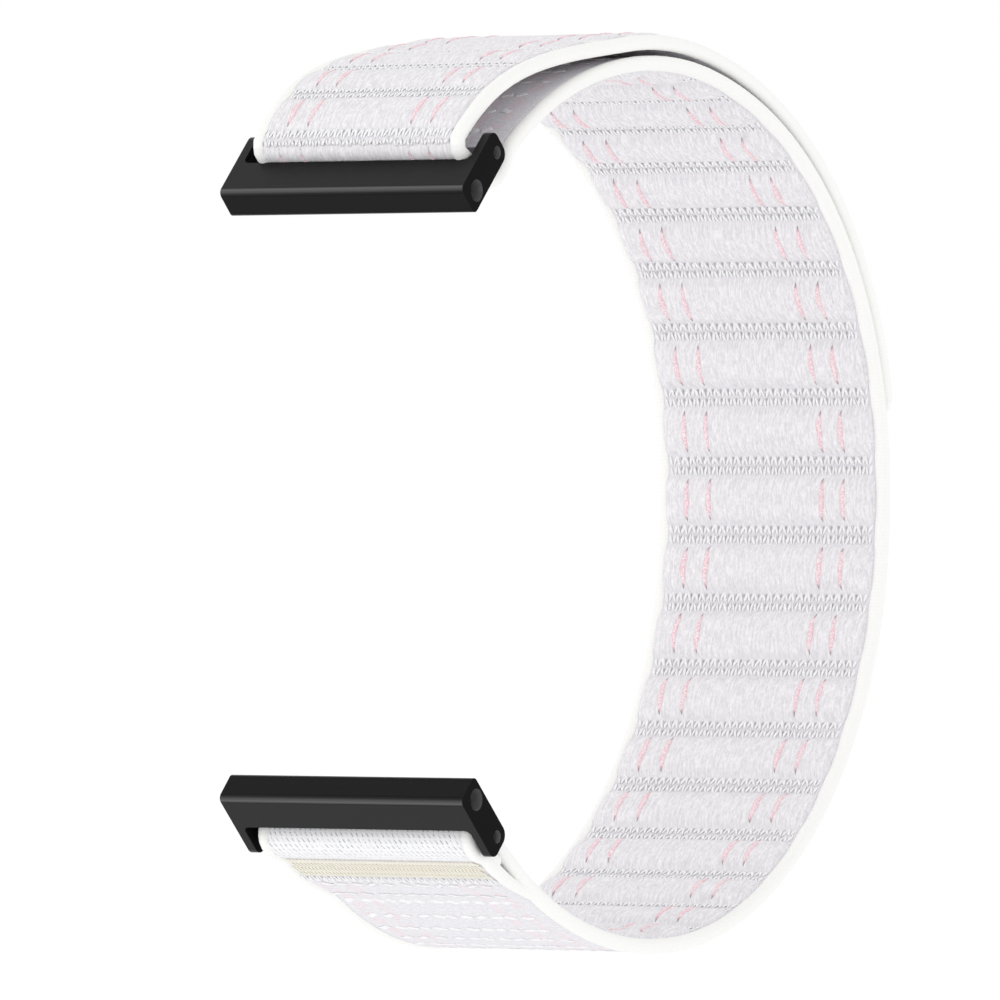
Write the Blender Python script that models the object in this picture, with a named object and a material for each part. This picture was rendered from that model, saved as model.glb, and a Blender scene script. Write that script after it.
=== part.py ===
"""Woven nylon watch strap with two end bars, closed as a loop. Metres, +Z up.

The origin is the middle of the loop, on the wrist's axis. X runs along the end bars, -Y faces the
watch and +Y is the back of the wrist. The strap is one long band: it starts as a flap round the lower
pin, runs once round the wrist, goes through the slot of the upper bar and lies over itself as the tail.
Every piece of it is swept along one centre line, so the pieces follow when a size changes.
"""

import math

import bmesh
import bpy
from mathutils import Matrix, Vector

# The loop and its ribs
LOOP_RADIUS = 0.0344
BACK_BULGE = 0.0006
BACK_BULGE_MIDDLE = math.radians(36.0)
BACK_BULGE_REACH = math.radians(42.0)
RIB_PITCH = 0.00561
BACK_RIB_RISE = 0.00036
UPPER_RIBS = 14
BACK_RIBS = 4
LOWER_RIBS = 4
FRONT_RIBS = 5
TAIL_BASE_RIBS = 5
TAIL_MIDDLE_RIBS = 5
TAIL_TIP_RIBS = 4

# The band's section
BAND_WIDTH = 0.0214
TAIL_NARROWING = 0.0005
TAPER_LENGTH = 0.032
WEB_THICKNESS = 0.00084
RIB_HEIGHT = 0.00085
TAIL_RIB_HEIGHT = 0.00038
EDGE_DIAMETER = 0.0012
LAYER_STEP = 0.00162

# Gaps between neighbours
EDGE_GAP = 0.00015
SLOT_SIDE_GAP = 0.00045
BUTT_GAP = 0.00025
HINGE_GAP = 0.00012
PATCH_GAP = 0.00012

# The end bars, measured from the strap pin
BAR_LENGTH = 0.0220
EAR_THICKNESS = 0.00075
BORE_DIAMETER = 0.0017
BORE_TO_PIN = 0.00415
BORE_TO_NOSE = 0.0015
BAR_INNER_DEPTH = 0.00113
BAR_OUTER_DEPTH = 0.00163
PIN_TO_SLOT_FACE = 0.00238
PIN_TO_EAR_TIP = 0.00097
NOSE_RADIUS = 0.0005
EAR_TIP_RADIUS = 0.0008
SIDE_RADIUS = 0.00035
PIN_DIAMETER = 0.0009
PIN_CLEARANCE = 0.00005
PIN_RECESS = 0.0004
BAR_TILT = math.radians(8.5)

# Where the pins stand, along and out from the band's two ends
UPPER_PIN_AHEAD = 0.0043
UPPER_PIN_OUT = 0.00227
LOWER_PIN_AHEAD = 0.00597
LOWER_PIN_OUT = 0.0009

# The fold through the upper bar, measured from its pin
SLOT_STEP = 0.0014
WRIST_REACH = 0.0032
TAIL_REACH = 0.0029
UPPER_FOLD_SHARES = ((0.45, -1.0), (-0.08, -0.84), (-0.36, -0.44))
TAIL_FOLD_SHARES = ((-1.06, 0.46), (-1.3, 0.76))

# The tail's way from the bar down on to the band
TAIL_LANDING = 0.0188
LEAD_IN_SHARE = 0.34
LEAD_OUT_SHARE = 0.38
TAIL_LEAVING = math.radians(45.0)

# The flap round the lower pin, its seam, the hook patch and the sealed end
WRAP_RADIUS = 0.00125
FLAP_LENGTH = 0.0032
FLAP_SHARES = ((0.31, 0.8), (0.69, 0.12), (1.0, -0.24))
LEG_SHARES = ((1.1, -1.2), (0.47, -1.08))
SEAM_LENGTH = 0.0016
SEAM_THICKNESS = 0.00025
PATCH_THICKNESS = 0.00036
PATCH_MARGIN = 0.0021
SEAL_LENGTH = 0.0014

# Shares that shape a rib: along the pitch, and across the band from its edge
RIB_PROFILE_SHARES = (
    (0.15, 0.0), (0.2, 0.42), (0.29, 0.8), (0.42, 0.98), (0.58, 0.98), (0.71, 0.8), (0.8, 0.42), (0.85, 0.0)
)
RIB_END_SHARES = ((0.0, 0.3), (0.035, 0.78), (0.09, 1.0))

EDGE_SIDES = 8
ROUND_SIDES = 24
BEVEL_STEPS = 3
PATH_STEPS = 24
ARC_STEP = math.radians(0.5)
CUT_OVERRUN = 0.001
BEAD_ANGLES = tuple(math.radians(turn) for turn in (0.0, 30.0, 55.0, 75.0))

SLOT_BAND_WIDTH = BAR_LENGTH - 2 * (EAR_THICKNESS + SLOT_SIDE_GAP)
TAIL_WIDTH = BAND_WIDTH - TAIL_NARROWING
WEB_HALF = WEB_THICKNESS / 2
EDGE_RADIUS = EDGE_DIAMETER / 2


class CentreLine:
    """The band's centre line in the YZ plane, as points joined by short straight steps."""

    def __init__(self, points):
        self.points = points
        self.lengths = [0.0]
        for first, second in zip(points, points[1:]):
            self.lengths.append(self.lengths[-1] + (second - first).length)

    def length(self):
        return self.lengths[-1]

    def at(self, distance):
        """Point and direction at a distance along the line; past either end it goes straight on."""
        low = 0
        high = len(self.points) - 2
        while low < high:
            middle = (low + high + 1) // 2
            if self.lengths[middle] <= distance:
                low = middle
            else:
                high = middle - 1
        first = self.points[low]
        direction = (self.points[low + 1] - first).normalized()
        return first + direction * (distance - self.lengths[low]), direction


def on_circle(radius, angle):
    return Vector((radius * math.cos(angle), radius * math.sin(angle)))


def on_loop(step_out, angle):
    """Point of the loop, or of a layer outside it; it bulges a little at the upper back."""
    away = min(1, abs(angle - BACK_BULGE_MIDDLE) / BACK_BULGE_REACH)
    return on_circle(LOOP_RADIUS + step_out + BACK_BULGE * (1 - away * away) ** 2, angle)


def loop_run(step_out, start, end):
    steps = max(2, math.ceil(abs(end - start) / ARC_STEP))
    return [on_loop(step_out, start + (end - start) * step / steps) for step in range(steps + 1)]


def smooth_run(knots, start_direction, end_direction):
    """A smooth curve through the knots, leaving and arriving in the given directions."""
    slopes = [start_direction * (knots[1] - knots[0]).length]
    for before, after in zip(knots, knots[2:]):
        slopes.append((after - before) / 2)
    slopes.append(end_direction * (knots[-1] - knots[-2]).length)
    points = [knots[0]]
    for index in range(len(knots) - 1):
        first, second = knots[index], knots[index + 1]
        for step in range(1, PATH_STEPS + 1):
            t = step / PATH_STEPS
            points.append(
                first * (2 * t**3 - 3 * t**2 + 1)
                + slopes[index] * (t**3 - 2 * t**2 + t)
                + second * (3 * t**2 - 2 * t**3)
                + slopes[index + 1] * (t**3 - t**2)
            )
    return points


class BarPlace:
    """Where an end bar lies: its pin, and the directions from the bore to the pin and outwards."""

    def __init__(self, end_point, travel, outward, ahead, out):
        self.pin = end_point + travel * ahead + outward * out
        self.along = -(travel * math.cos(BAR_TILT) - outward * math.sin(BAR_TILT))
        self.outward = outward * math.cos(BAR_TILT) + travel * math.sin(BAR_TILT)

    def point(self, along, outward):
        return self.pin + self.along * along + self.outward * outward


BACK_VALLEY = (BACK_RIB_RISE - RIB_PITCH / 2) / LOOP_RADIUS
RIB_ANGLE = RIB_PITCH / LOOP_RADIUS
UPPER_END = BACK_VALLEY + UPPER_RIBS * RIB_ANGLE
LOWER_VALLEY = BACK_VALLEY - BACK_RIBS * RIB_ANGLE
FRONT_VALLEY = LOWER_VALLEY - LOWER_RIBS * RIB_ANGLE
LOWER_END = FRONT_VALLEY - FRONT_RIBS * RIB_ANGLE

UPPER_BAR = BarPlace(
    on_circle(LOOP_RADIUS, UPPER_END), on_circle(1, UPPER_END + math.pi / 2), on_circle(1, UPPER_END),
    UPPER_PIN_AHEAD, UPPER_PIN_OUT,
)
LOWER_BAR = BarPlace(
    on_circle(LOOP_RADIUS, LOWER_END), on_circle(1, LOWER_END - math.pi / 2), on_circle(1, LOWER_END),
    LOWER_PIN_AHEAD, LOWER_PIN_OUT,
)


def lower_fold_points():
    """From the flap's end round the lower pin to the start of the ribbed band."""
    flap = [
        LOWER_BAR.point(along * FLAP_LENGTH, outward * WRAP_RADIUS) for along, outward in reversed(FLAP_SHARES)
    ]
    leg = [
        LOWER_BAR.point(along * FLAP_LENGTH, outward * WRAP_RADIUS) for along, outward in reversed(LEG_SHARES)
    ]
    top = LOWER_BAR.point(0, WRAP_RADIUS)
    bottom = LOWER_BAR.point(0, -WRAP_RADIUS)
    flap_start = (flap[1] - flap[0]).normalized()
    points = smooth_run([*flap, top], flap_start, -LOWER_BAR.along)
    for step in range(1, PATH_STEPS):
        turn = math.pi * step / PATH_STEPS
        points.append(LOWER_BAR.point(-WRAP_RADIUS * math.sin(turn), WRAP_RADIUS * math.cos(turn)))
    end = on_circle(LOOP_RADIUS, LOWER_END)
    points += smooth_run([bottom, *leg, end], LOWER_BAR.along, on_circle(1, LOWER_END + math.pi / 2))
    return points


def upper_fold_points():
    """From the end of the ribbed band through the slot of the upper bar to the tail's first valley."""
    start = on_circle(LOOP_RADIUS, UPPER_END)
    inner = [UPPER_BAR.point(along * WRIST_REACH, out * WRIST_REACH) for along, out in UPPER_FOLD_SHARES]
    outer = [UPPER_BAR.point(along * SLOT_STEP, out * TAIL_REACH) for along, out in TAIL_FOLD_SHARES]
    slot = UPPER_BAR.point(-SLOT_STEP, 0)
    hinge = UPPER_BAR.point(-SLOT_STEP, TAIL_REACH)
    leaving = UPPER_BAR.along * math.cos(TAIL_LEAVING) + UPPER_BAR.outward * math.sin(TAIL_LEAVING)
    return smooth_run([start, *inner, slot, *outer, hinge], on_circle(1, UPPER_END + math.pi / 2), leaving)


def tail_points():
    """From the tail's first valley down on to the band and along it."""
    hinge = UPPER_BAR.point(-SLOT_STEP, TAIL_REACH)
    landing_angle = UPPER_END - TAIL_LANDING / (LOOP_RADIUS + LAYER_STEP)
    landing = on_loop(LAYER_STEP, landing_angle)
    span = (landing - hinge).length
    first = hinge + UPPER_BAR.along * (span * LEAD_IN_SHARE)
    second = landing - on_circle(1, landing_angle - math.pi / 2) * (span * LEAD_OUT_SHARE)
    points = []
    for step in range(PATH_STEPS * 2 + 1):
        t = step / (PATH_STEPS * 2)
        points.append(
            hinge * (1 - t) ** 3
            + first * (3 * t * (1 - t) ** 2)
            + second * (3 * t**2 * (1 - t))
            + landing * t**3
        )
    ribs = TAIL_BASE_RIBS + TAIL_MIDDLE_RIBS + TAIL_TIP_RIBS
    reach = (ribs * RIB_PITCH + SEAL_LENGTH) / (LOOP_RADIUS + LAYER_STEP)
    return points + loop_run(LAYER_STEP, landing_angle, landing_angle - reach)[1:]


def joined(*runs):
    """One list of points from runs that meet end to end."""
    points = list(runs[0])
    for run in runs[1:]:
        points += run[1:]
    return points


LOWER_RUN = lower_fold_points()
MAIN_RUN = joined(LOWER_RUN, loop_run(0, LOWER_END, UPPER_END))
FOLD_RUN = joined(MAIN_RUN, upper_fold_points())
LINE = CentreLine(joined(FOLD_RUN, tail_points()))
BAND_START = CentreLine(LOWER_RUN).length()
FRONT_HINGE = BAND_START + FRONT_RIBS * RIB_PITCH
LOWER_HINGE = FRONT_HINGE + LOWER_RIBS * RIB_PITCH
BACK_HINGE = LOWER_HINGE + BACK_RIBS * RIB_PITCH
BAND_END = CentreLine(MAIN_RUN).length()
TAIL_HINGE = CentreLine(FOLD_RUN).length()
TAIL_MIDDLE_HINGE = TAIL_HINGE + TAIL_BASE_RIBS * RIB_PITCH
TIP_HINGE = TAIL_MIDDLE_HINGE + TAIL_MIDDLE_RIBS * RIB_PITCH
TAIL_END = TIP_HINGE + TAIL_TIP_RIBS * RIB_PITCH


def half_width(distance):
    """Half the band's width: narrow where it goes through an end bar, full further on."""
    if distance < (BAND_START + BAND_END) / 2:
        full, away = BAND_WIDTH, distance - BAND_START
    elif distance < BAND_END:
        full, away = BAND_WIDTH, BAND_END - distance
    else:
        full, away = TAIL_WIDTH, distance - TAIL_HINGE
    share = min(1, max(0, away / TAPER_LENGTH))
    return (SLOT_BAND_WIDTH + (full - SLOT_BAND_WIDTH) * share * share * (3 - 2 * share)) / 2


def placed(distance, across, height):
    """A point of the band: distance along it, across it, and height on its ribbed side."""
    point, direction = LINE.at(distance)
    ribbed_side = Vector((-direction.y, direction.x))
    flat = point + ribbed_side * height
    return Vector((across, flat.x, flat.y))


def finish(name, colour, roughness, metallic):
    """A plain surface finish."""
    material = bpy.data.materials.new(name)
    material.use_nodes = True
    shader = material.node_tree.nodes["Principled BSDF"]
    shader.inputs["Base Color"].default_value = colour
    shader.inputs["Roughness"].default_value = roughness
    shader.inputs["Metallic"].default_value = metallic
    return material


def mesh_object(name, mesh, parent=None):
    """Link a mesh as an object; with a parent empty it keeps its place in the world."""
    data = bpy.data.meshes.new(name)
    mesh.to_mesh(data)
    mesh.free()
    data.shade_smooth()
    item = bpy.data.objects.new(name, data)
    bpy.context.scene.collection.objects.link(item)
    if parent is not None:
        item.parent = parent
        item.matrix_parent_inverse = parent.matrix_world.inverted()
    return item


def add_axis(name, place, parent=None):
    """An empty on a joint's axis, for the pieces that turn about it."""
    axis = bpy.data.objects.new(name, None)
    axis.empty_display_size = EDGE_DIAMETER
    bpy.context.scene.collection.objects.link(axis)
    if parent is not None:
        axis.parent = parent
        axis.matrix_parent_inverse = parent.matrix_world.inverted()
    axis.location = (0, place.x, place.y)
    bpy.context.view_layer.update()
    return axis


def loft(name, rings, material, parent=None):
    """A closed solid through rings of points, with a flat cap at both ends."""
    mesh = bmesh.new()
    loops = [[mesh.verts.new(place) for place in ring] for ring in rings]
    mesh.faces.new(loops[0])
    mesh.faces.new(loops[-1])
    for first, second in zip(loops, loops[1:]):
        for index in range(len(first)):
            mesh.faces.new((first[index - 1], first[index], second[index], second[index - 1]))
    bmesh.ops.recalc_face_normals(mesh, faces=mesh.faces)
    item = mesh_object(name, mesh, parent)
    item.data.materials.append(material)
    item.data.set_sharp_from_angle(angle=math.radians(40))
    return item


def bead(hinge, radius, side):
    """Stations of a rounded end about a hinge's axis, as distance and share of the full size."""
    return [(hinge + side * radius * math.sin(turn), math.cos(turn)) for turn in BEAD_ANGLES]


def web_stations(start, end, ribs, bead_at_start, bead_at_end, butt_at_start, butt_at_end):
    """Distance, share of the thickness and share of the rib height, from one end to the other."""
    pitch = (end - start) / ribs
    stations = []
    if bead_at_start:
        stations += [(place, share, 0.0) for place, share in reversed(bead(start, WEB_HALF, -1))]
    else:
        clear = BUTT_GAP / 2 if butt_at_start else WEB_HALF + HINGE_GAP
        stations.append((start + clear, 1.0, 0.0))
    for rib in range(ribs):
        for share, height in RIB_PROFILE_SHARES:
            stations.append((start + pitch * (rib + share), 1.0, height))
    if bead_at_end:
        stations += [(place, share, 0.0) for place, share in bead(end, WEB_HALF, 1)]
    else:
        clear = BUTT_GAP / 2 if butt_at_end else WEB_HALF + HINGE_GAP
        stations.append((end - clear, 1.0, 0.0))
    return stations


def web_ring(distance, thickness_share, rib_share):
    """Section across the band: flat back, and the ribbed face with its ribs drawn in at both edges."""
    edge = half_width(distance) - EDGE_DIAMETER - EDGE_GAP
    rise = RIB_HEIGHT if distance < BAND_END else TAIL_RIB_HEIGHT
    shares = [(share, height) for share, height in RIB_END_SHARES]
    columns = [(-1 + 2 * share, height) for share, height in shares]
    columns += [(1 - 2 * share, height) for share, height in reversed(shares)]
    ring = [placed(distance, -edge, -WEB_HALF * thickness_share)]
    for across, height in columns:
        lift = WEB_HALF * thickness_share + rise * rib_share * height
        ring.append(placed(distance, across * edge, lift))
    ring.append(placed(distance, edge, -WEB_HALF * thickness_share))
    return ring


def edge_ring(distance, side, share):
    """Round section of the tubular edge."""
    middle = side * (half_width(distance) - EDGE_RADIUS)
    ring = []
    for step in range(EDGE_SIDES):
        turn = math.tau * (step + 1 / 2) / EDGE_SIDES
        ring.append(placed(
            distance,
            middle + EDGE_RADIUS * share * math.cos(turn),
            EDGE_RADIUS * share * math.sin(turn),
        ))
    return ring


def edge_stations(start, end, ribs, bead_at_start, bead_at_end, butt_at_start, butt_at_end):
    """Distance and share of the radius, from one end of a tubular edge to the other."""
    pitch = (end - start) / ribs
    stations = []
    if bead_at_start:
        stations += list(reversed(bead(start, EDGE_RADIUS, -1)))
    else:
        clear = BUTT_GAP / 2 if butt_at_start else EDGE_RADIUS + HINGE_GAP
        stations.append((start + clear, 1.0))
    for step in range(1, 2 * ribs):
        stations.append((start + pitch * step / 2, 1.0))
    if bead_at_end:
        stations += bead(end, EDGE_RADIUS, 1)
    else:
        clear = BUTT_GAP / 2 if butt_at_end else EDGE_RADIUS + HINGE_GAP
        stations.append((end - clear, 1.0))
    return stations


def band_section(name, span, ribs, materials, parent=None, bead_at_start=False, bead_at_end=False,
                 butt_at_start=False, butt_at_end=False):
    """One stretch of the band: its ribbed web and the tubular edge along each side."""
    ends = (bead_at_start, bead_at_end, butt_at_start, butt_at_end)
    rings = [web_ring(*station) for station in web_stations(*span, ribs, *ends)]
    loft(name, rings, materials["web"], parent)
    for side_name, side in (("left", -1), ("right", 1)):
        rings = [edge_ring(place, side, share) for place, share in edge_stations(*span, ribs, *ends)]
        loft(f"{name}_{side_name}_edge", rings, materials["edge"], parent)


def strip_ring(distance, half, low, high):
    """Section of a flat strip with rounded sides."""
    radius = (high - low) / 2
    middle = (high + low) / 2
    ring = []
    for side in (1, -1):
        for step in range(EDGE_SIDES // 2):
            turn = math.pi * (step + 1 / 2) / (EDGE_SIDES // 2) - math.pi / 2
            ring.append(placed(
                distance,
                side * (half - radius + radius * math.cos(turn)),
                middle + side * radius * math.sin(turn),
            ))
    return ring


def spaced(start, end, spacing):
    steps = max(1, math.ceil((end - start) / spacing))
    return [start + (end - start) * step / steps for step in range(steps + 1)]


def folded_strap(materials):
    """The plain woven stretches round the two pins, and the seam that holds the flap down."""
    spacing = WRAP_RADIUS / 4
    stations = [(place, 1.0) for place in spaced(0, BAND_START - BUTT_GAP / 2, spacing)]
    rings = [
        strip_ring(place, half_width(place), -WEB_HALF * share, WEB_HALF * share) for place, share in stations
    ]
    loft("lower_fold", rings, materials["web"], materials["front_axis"])
    stations = [(place, 1.0) for place in spaced(BAND_END + BUTT_GAP / 2, TAIL_HINGE - EDGE_RADIUS, spacing)]
    stations += bead(TAIL_HINGE, WEB_HALF, 1)
    rings = [
        strip_ring(place, half_width(place), -WEB_HALF * share, WEB_HALF * share) for place, share in stations
    ]
    loft("upper_fold", rings, materials["web"])
    low = WEB_HALF + PATCH_GAP
    rings = [
        strip_ring(place, half_width(place), low, low + SEAM_THICKNESS)
        for place in spaced(BUTT_GAP, BUTT_GAP + SEAM_LENGTH, spacing)
    ]
    loft("flap_seam", rings, materials["seam"], materials["front_axis"])


def tail_fittings(materials):
    """The hook patch under the tail's tip and the sealed end of the tail."""
    tip = materials["tip_axis"]
    high = -WEB_HALF - PATCH_GAP
    start = TIP_HINGE + PATCH_MARGIN
    rings = [
        strip_ring(place, half_width(place) - PATCH_MARGIN, high - PATCH_THICKNESS, high)
        for place in spaced(start, TAIL_END - BUTT_GAP, RIB_PITCH / 2)
    ]
    loft("hook_patch", rings, materials["hook"], tip)
    start = TAIL_END + BUTT_GAP / 2
    stations = [(place, 1.0) for place in spaced(start, TAIL_END + SEAL_LENGTH - WEB_HALF, SEAL_LENGTH / 2)]
    stations += bead(TAIL_END + SEAL_LENGTH - WEB_HALF, WEB_HALF, 1)[1:]
    rings = [
        strip_ring(place, half_width(place) - WEB_HALF * (1 - share), -WEB_HALF * share, WEB_HALF * share)
        for place, share in stations
    ]
    loft("tail_end_seal", rings, materials["edge"], tip)


def x_cylinder(name, radius, length, middle, parent=None):
    """A round pin or cutter along X."""
    mesh = bmesh.new()
    bmesh.ops.create_cone(
        mesh, cap_ends=True, segments=ROUND_SIDES, radius1=radius, radius2=radius, depth=length,
        matrix=Matrix.Translation((0, middle.x, middle.y)) @ Matrix.Rotation(math.pi / 2, 4, "Y"),
    )
    return mesh_object(name, mesh, parent)


def cut(target, cutter):
    cutter.hide_render = True
    cutter.display_type = "WIRE"
    boolean = target.modifiers.new(cutter.name, "BOOLEAN")
    boolean.operation = "DIFFERENCE"
    boolean.solver = "EXACT"
    boolean.object = cutter


def bar_ring(place, across, inset):
    """Outline of the bar with its ears, seen along X, drawn in by a distance."""
    nose = -BORE_TO_PIN - BORE_TO_NOSE + inset
    tip = PIN_TO_EAR_TIP - inset
    outer = BAR_OUTER_DEPTH - inset
    inner = -BAR_INNER_DEPTH + inset
    nose_radius = NOSE_RADIUS - inset
    tip_radius = EAR_TIP_RADIUS - inset
    corners = (
        (tip - tip_radius, outer - tip_radius, tip_radius),
        (nose + nose_radius, outer - nose_radius, nose_radius),
        (nose + nose_radius, inner + nose_radius, nose_radius),
        (tip - tip_radius, inner + tip_radius, tip_radius),
    )
    ring = []
    for quarter, (along, outward, radius) in enumerate(corners):
        for step in range(BEVEL_STEPS + 1):
            turn = (quarter + step / BEVEL_STEPS) * math.pi / 2
            flat = place.point(along + radius * math.cos(turn), outward + radius * math.sin(turn))
            ring.append(Vector((across, flat.x, flat.y)))
    return ring


def end_bar(name, place, axis, material):
    """The bar with its two ears: nose and bore on the watch's side, slot and pin on the strap's."""
    stations = []
    for step in range(BEVEL_STEPS):
        turn = step / BEVEL_STEPS * math.pi / 2
        rise = SIDE_RADIUS * (1 - math.sin(turn))
        stations.append((BAR_LENGTH / 2 - SIDE_RADIUS + SIDE_RADIUS * math.cos(turn), rise))
    stations.append((BAR_LENGTH / 2 - SIDE_RADIUS, 0.0))
    stations = [(-across, inset) for across, inset in stations] + list(reversed(stations))
    bar = loft(name, [bar_ring(place, *station) for station in stations], material, axis)

    half = BAR_LENGTH / 2 - EAR_THICKNESS
    far = PIN_TO_EAR_TIP + CUT_OVERRUN
    outer = BAR_OUTER_DEPTH + CUT_OVERRUN
    inner = -BAR_INNER_DEPTH - CUT_OVERRUN
    corners = ((-PIN_TO_SLOT_FACE, inner), (far, inner), (far, outer), (-PIN_TO_SLOT_FACE, outer))
    rings = []
    for across in (-half, half):
        flats = [place.point(*corner) for corner in corners]
        rings.append([Vector((across, flat.x, flat.y)) for flat in flats])
    cut(bar, loft(f"{name}_slot", rings, material))
    through = BAR_LENGTH + 2 * CUT_OVERRUN
    bore = place.point(-BORE_TO_PIN, 0)
    cut(bar, x_cylinder(f"{name}_bore", BORE_DIAMETER / 2, through, bore))
    cut(bar, x_cylinder(f"{name}_pin_hole", PIN_DIAMETER / 2 + PIN_CLEARANCE, through, place.pin))


def strap_pin(name, place, axis, material):
    pin = x_cylinder(name, PIN_DIAMETER / 2, BAR_LENGTH - 2 * PIN_RECESS, place.pin, axis)
    pin.data.materials.append(material)
    pin.data.set_sharp_from_angle(angle=math.radians(40))


def main():
    for item in list(bpy.data.objects):
        bpy.data.objects.remove(item, do_unlink=True)
    fabric = finish("white_webbing", (0.79, 0.78, 0.8, 1), 0.9, 0.0)
    edge = finish("ivory_edge", (0.93, 0.92, 0.89, 1), 0.75, 0.0)
    black = finish("black_metal", (0.03, 0.03, 0.032, 1), 0.42, 0.6)
    steel = finish("dark_pin", (0.12, 0.12, 0.12, 1), 0.35, 0.9)
    seam = finish("cream_seam", (0.83, 0.78, 0.64, 1), 0.85, 0.0)
    hook = finish("white_hook", (0.85, 0.85, 0.85, 1), 0.6, 0.0)

    back_axis = add_axis("back_flex_axis", LINE.at(BACK_HINGE)[0])
    lower_axis = add_axis("lower_flex_axis", LINE.at(LOWER_HINGE)[0], back_axis)
    front_axis = add_axis("front_flex_axis", LINE.at(FRONT_HINGE)[0], lower_axis)
    tail_axis = add_axis("tail_open_axis", LINE.at(TAIL_HINGE)[0])
    middle_axis = add_axis("tail_flex_axis", LINE.at(TAIL_MIDDLE_HINGE)[0], tail_axis)
    tip_axis = add_axis("tip_peel_axis", LINE.at(TIP_HINGE)[0], middle_axis)
    materials = {
        "web": fabric, "edge": edge, "seam": seam, "hook": hook, "front_axis": front_axis, "tip_axis": tip_axis
    }

    band_section("upper_band", (BACK_HINGE, BAND_END), UPPER_RIBS, materials,
                 bead_at_start=True, butt_at_end=True)
    band_section("back_band", (LOWER_HINGE, BACK_HINGE), BACK_RIBS, materials, back_axis, bead_at_start=True)
    band_section("lower_band", (FRONT_HINGE, LOWER_HINGE), LOWER_RIBS, materials, lower_axis,
                 bead_at_start=True)
    band_section("front_band", (BAND_START, FRONT_HINGE), FRONT_RIBS, materials, front_axis,
                 butt_at_start=True)
    band_section("tail_base", (TAIL_HINGE, TAIL_MIDDLE_HINGE), TAIL_BASE_RIBS, materials, tail_axis,
                 bead_at_end=True)
    band_section("tail_middle", (TAIL_MIDDLE_HINGE, TIP_HINGE), TAIL_MIDDLE_RIBS, materials, middle_axis,
                 bead_at_end=True)
    band_section("tail_tip", (TIP_HINGE, TAIL_END), TAIL_TIP_RIBS, materials, tip_axis, butt_at_end=True)
    folded_strap(materials)
    tail_fittings(materials)

    upper_pin_axis = add_axis("upper_bar_axis", UPPER_BAR.pin)
    end_bar("upper_end_bar", UPPER_BAR, upper_pin_axis, black)
    strap_pin("upper_strap_pin", UPPER_BAR, upper_pin_axis, steel)
    lower_pin_axis = add_axis("lower_bar_axis", LOWER_BAR.pin, front_axis)
    end_bar("lower_end_bar", LOWER_BAR, lower_pin_axis, black)
    strap_pin("lower_strap_pin", LOWER_BAR, lower_pin_axis, steel)


main()
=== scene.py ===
"""Looks of the woven nylon watch strap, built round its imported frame.

Metres, +Z up. X runs along the end bars, -Y faces the watch and +Y is the back of the wrist. Every piece of
the strap is swept along one centre line, from the flap round the lower pin, once round the wrist, through the
upper bar and back over itself as the tail. Heights are positive on the ribbed side.
"""

import bisect
import logging
import math
import random
from collections.abc import Callable, Sequence
from dataclasses import dataclass, field
from enum import Enum

import bmesh
import bpy
from mathutils import Matrix, Vector, noise


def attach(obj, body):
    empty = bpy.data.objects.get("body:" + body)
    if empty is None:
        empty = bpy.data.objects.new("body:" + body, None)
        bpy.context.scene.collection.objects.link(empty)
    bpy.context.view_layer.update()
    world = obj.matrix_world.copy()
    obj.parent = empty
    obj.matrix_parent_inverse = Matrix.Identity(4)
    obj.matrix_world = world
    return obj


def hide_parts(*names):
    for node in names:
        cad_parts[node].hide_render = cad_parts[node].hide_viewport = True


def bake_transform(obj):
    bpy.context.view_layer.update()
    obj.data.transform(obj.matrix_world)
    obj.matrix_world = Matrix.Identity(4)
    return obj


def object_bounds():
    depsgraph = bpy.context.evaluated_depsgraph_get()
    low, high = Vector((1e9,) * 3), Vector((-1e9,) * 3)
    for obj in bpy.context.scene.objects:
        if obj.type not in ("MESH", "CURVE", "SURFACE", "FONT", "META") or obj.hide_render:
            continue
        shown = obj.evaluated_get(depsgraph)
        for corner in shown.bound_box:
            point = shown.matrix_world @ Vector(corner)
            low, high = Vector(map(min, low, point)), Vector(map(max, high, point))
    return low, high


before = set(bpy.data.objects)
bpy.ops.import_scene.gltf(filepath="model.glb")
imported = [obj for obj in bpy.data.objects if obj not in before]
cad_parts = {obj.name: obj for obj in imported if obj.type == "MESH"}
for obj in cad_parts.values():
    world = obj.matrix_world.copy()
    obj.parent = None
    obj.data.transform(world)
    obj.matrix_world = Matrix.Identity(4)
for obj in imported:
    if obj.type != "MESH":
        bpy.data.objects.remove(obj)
CAD_BOX = [list(corner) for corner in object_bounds()]

LOG = logging.getLogger("strap")
WEAVE_MAP = "weave"
MERGE_DISTANCE = 1e-7
MILLIMETRES = 1000.0
PATH_STEPS = 24
ARC_STEP = math.radians(0.5)
LEAD_IN = 0.00045
Socket = bpy.types.NodeSocket
Run = list[Vector]


class Side(Enum):
    """The band's two edges, seen from the watch."""

    LEFT = -1
    RIGHT = 1


class Slot(Enum):
    """The record's material slots."""

    WEBBING = "webbing"
    SELVEDGE = "selvedge"
    SEAM = "seam_thread"
    HOOKS = "hook_tape"
    BAR = "bar_black"
    PIN = "pin_metal"


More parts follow.
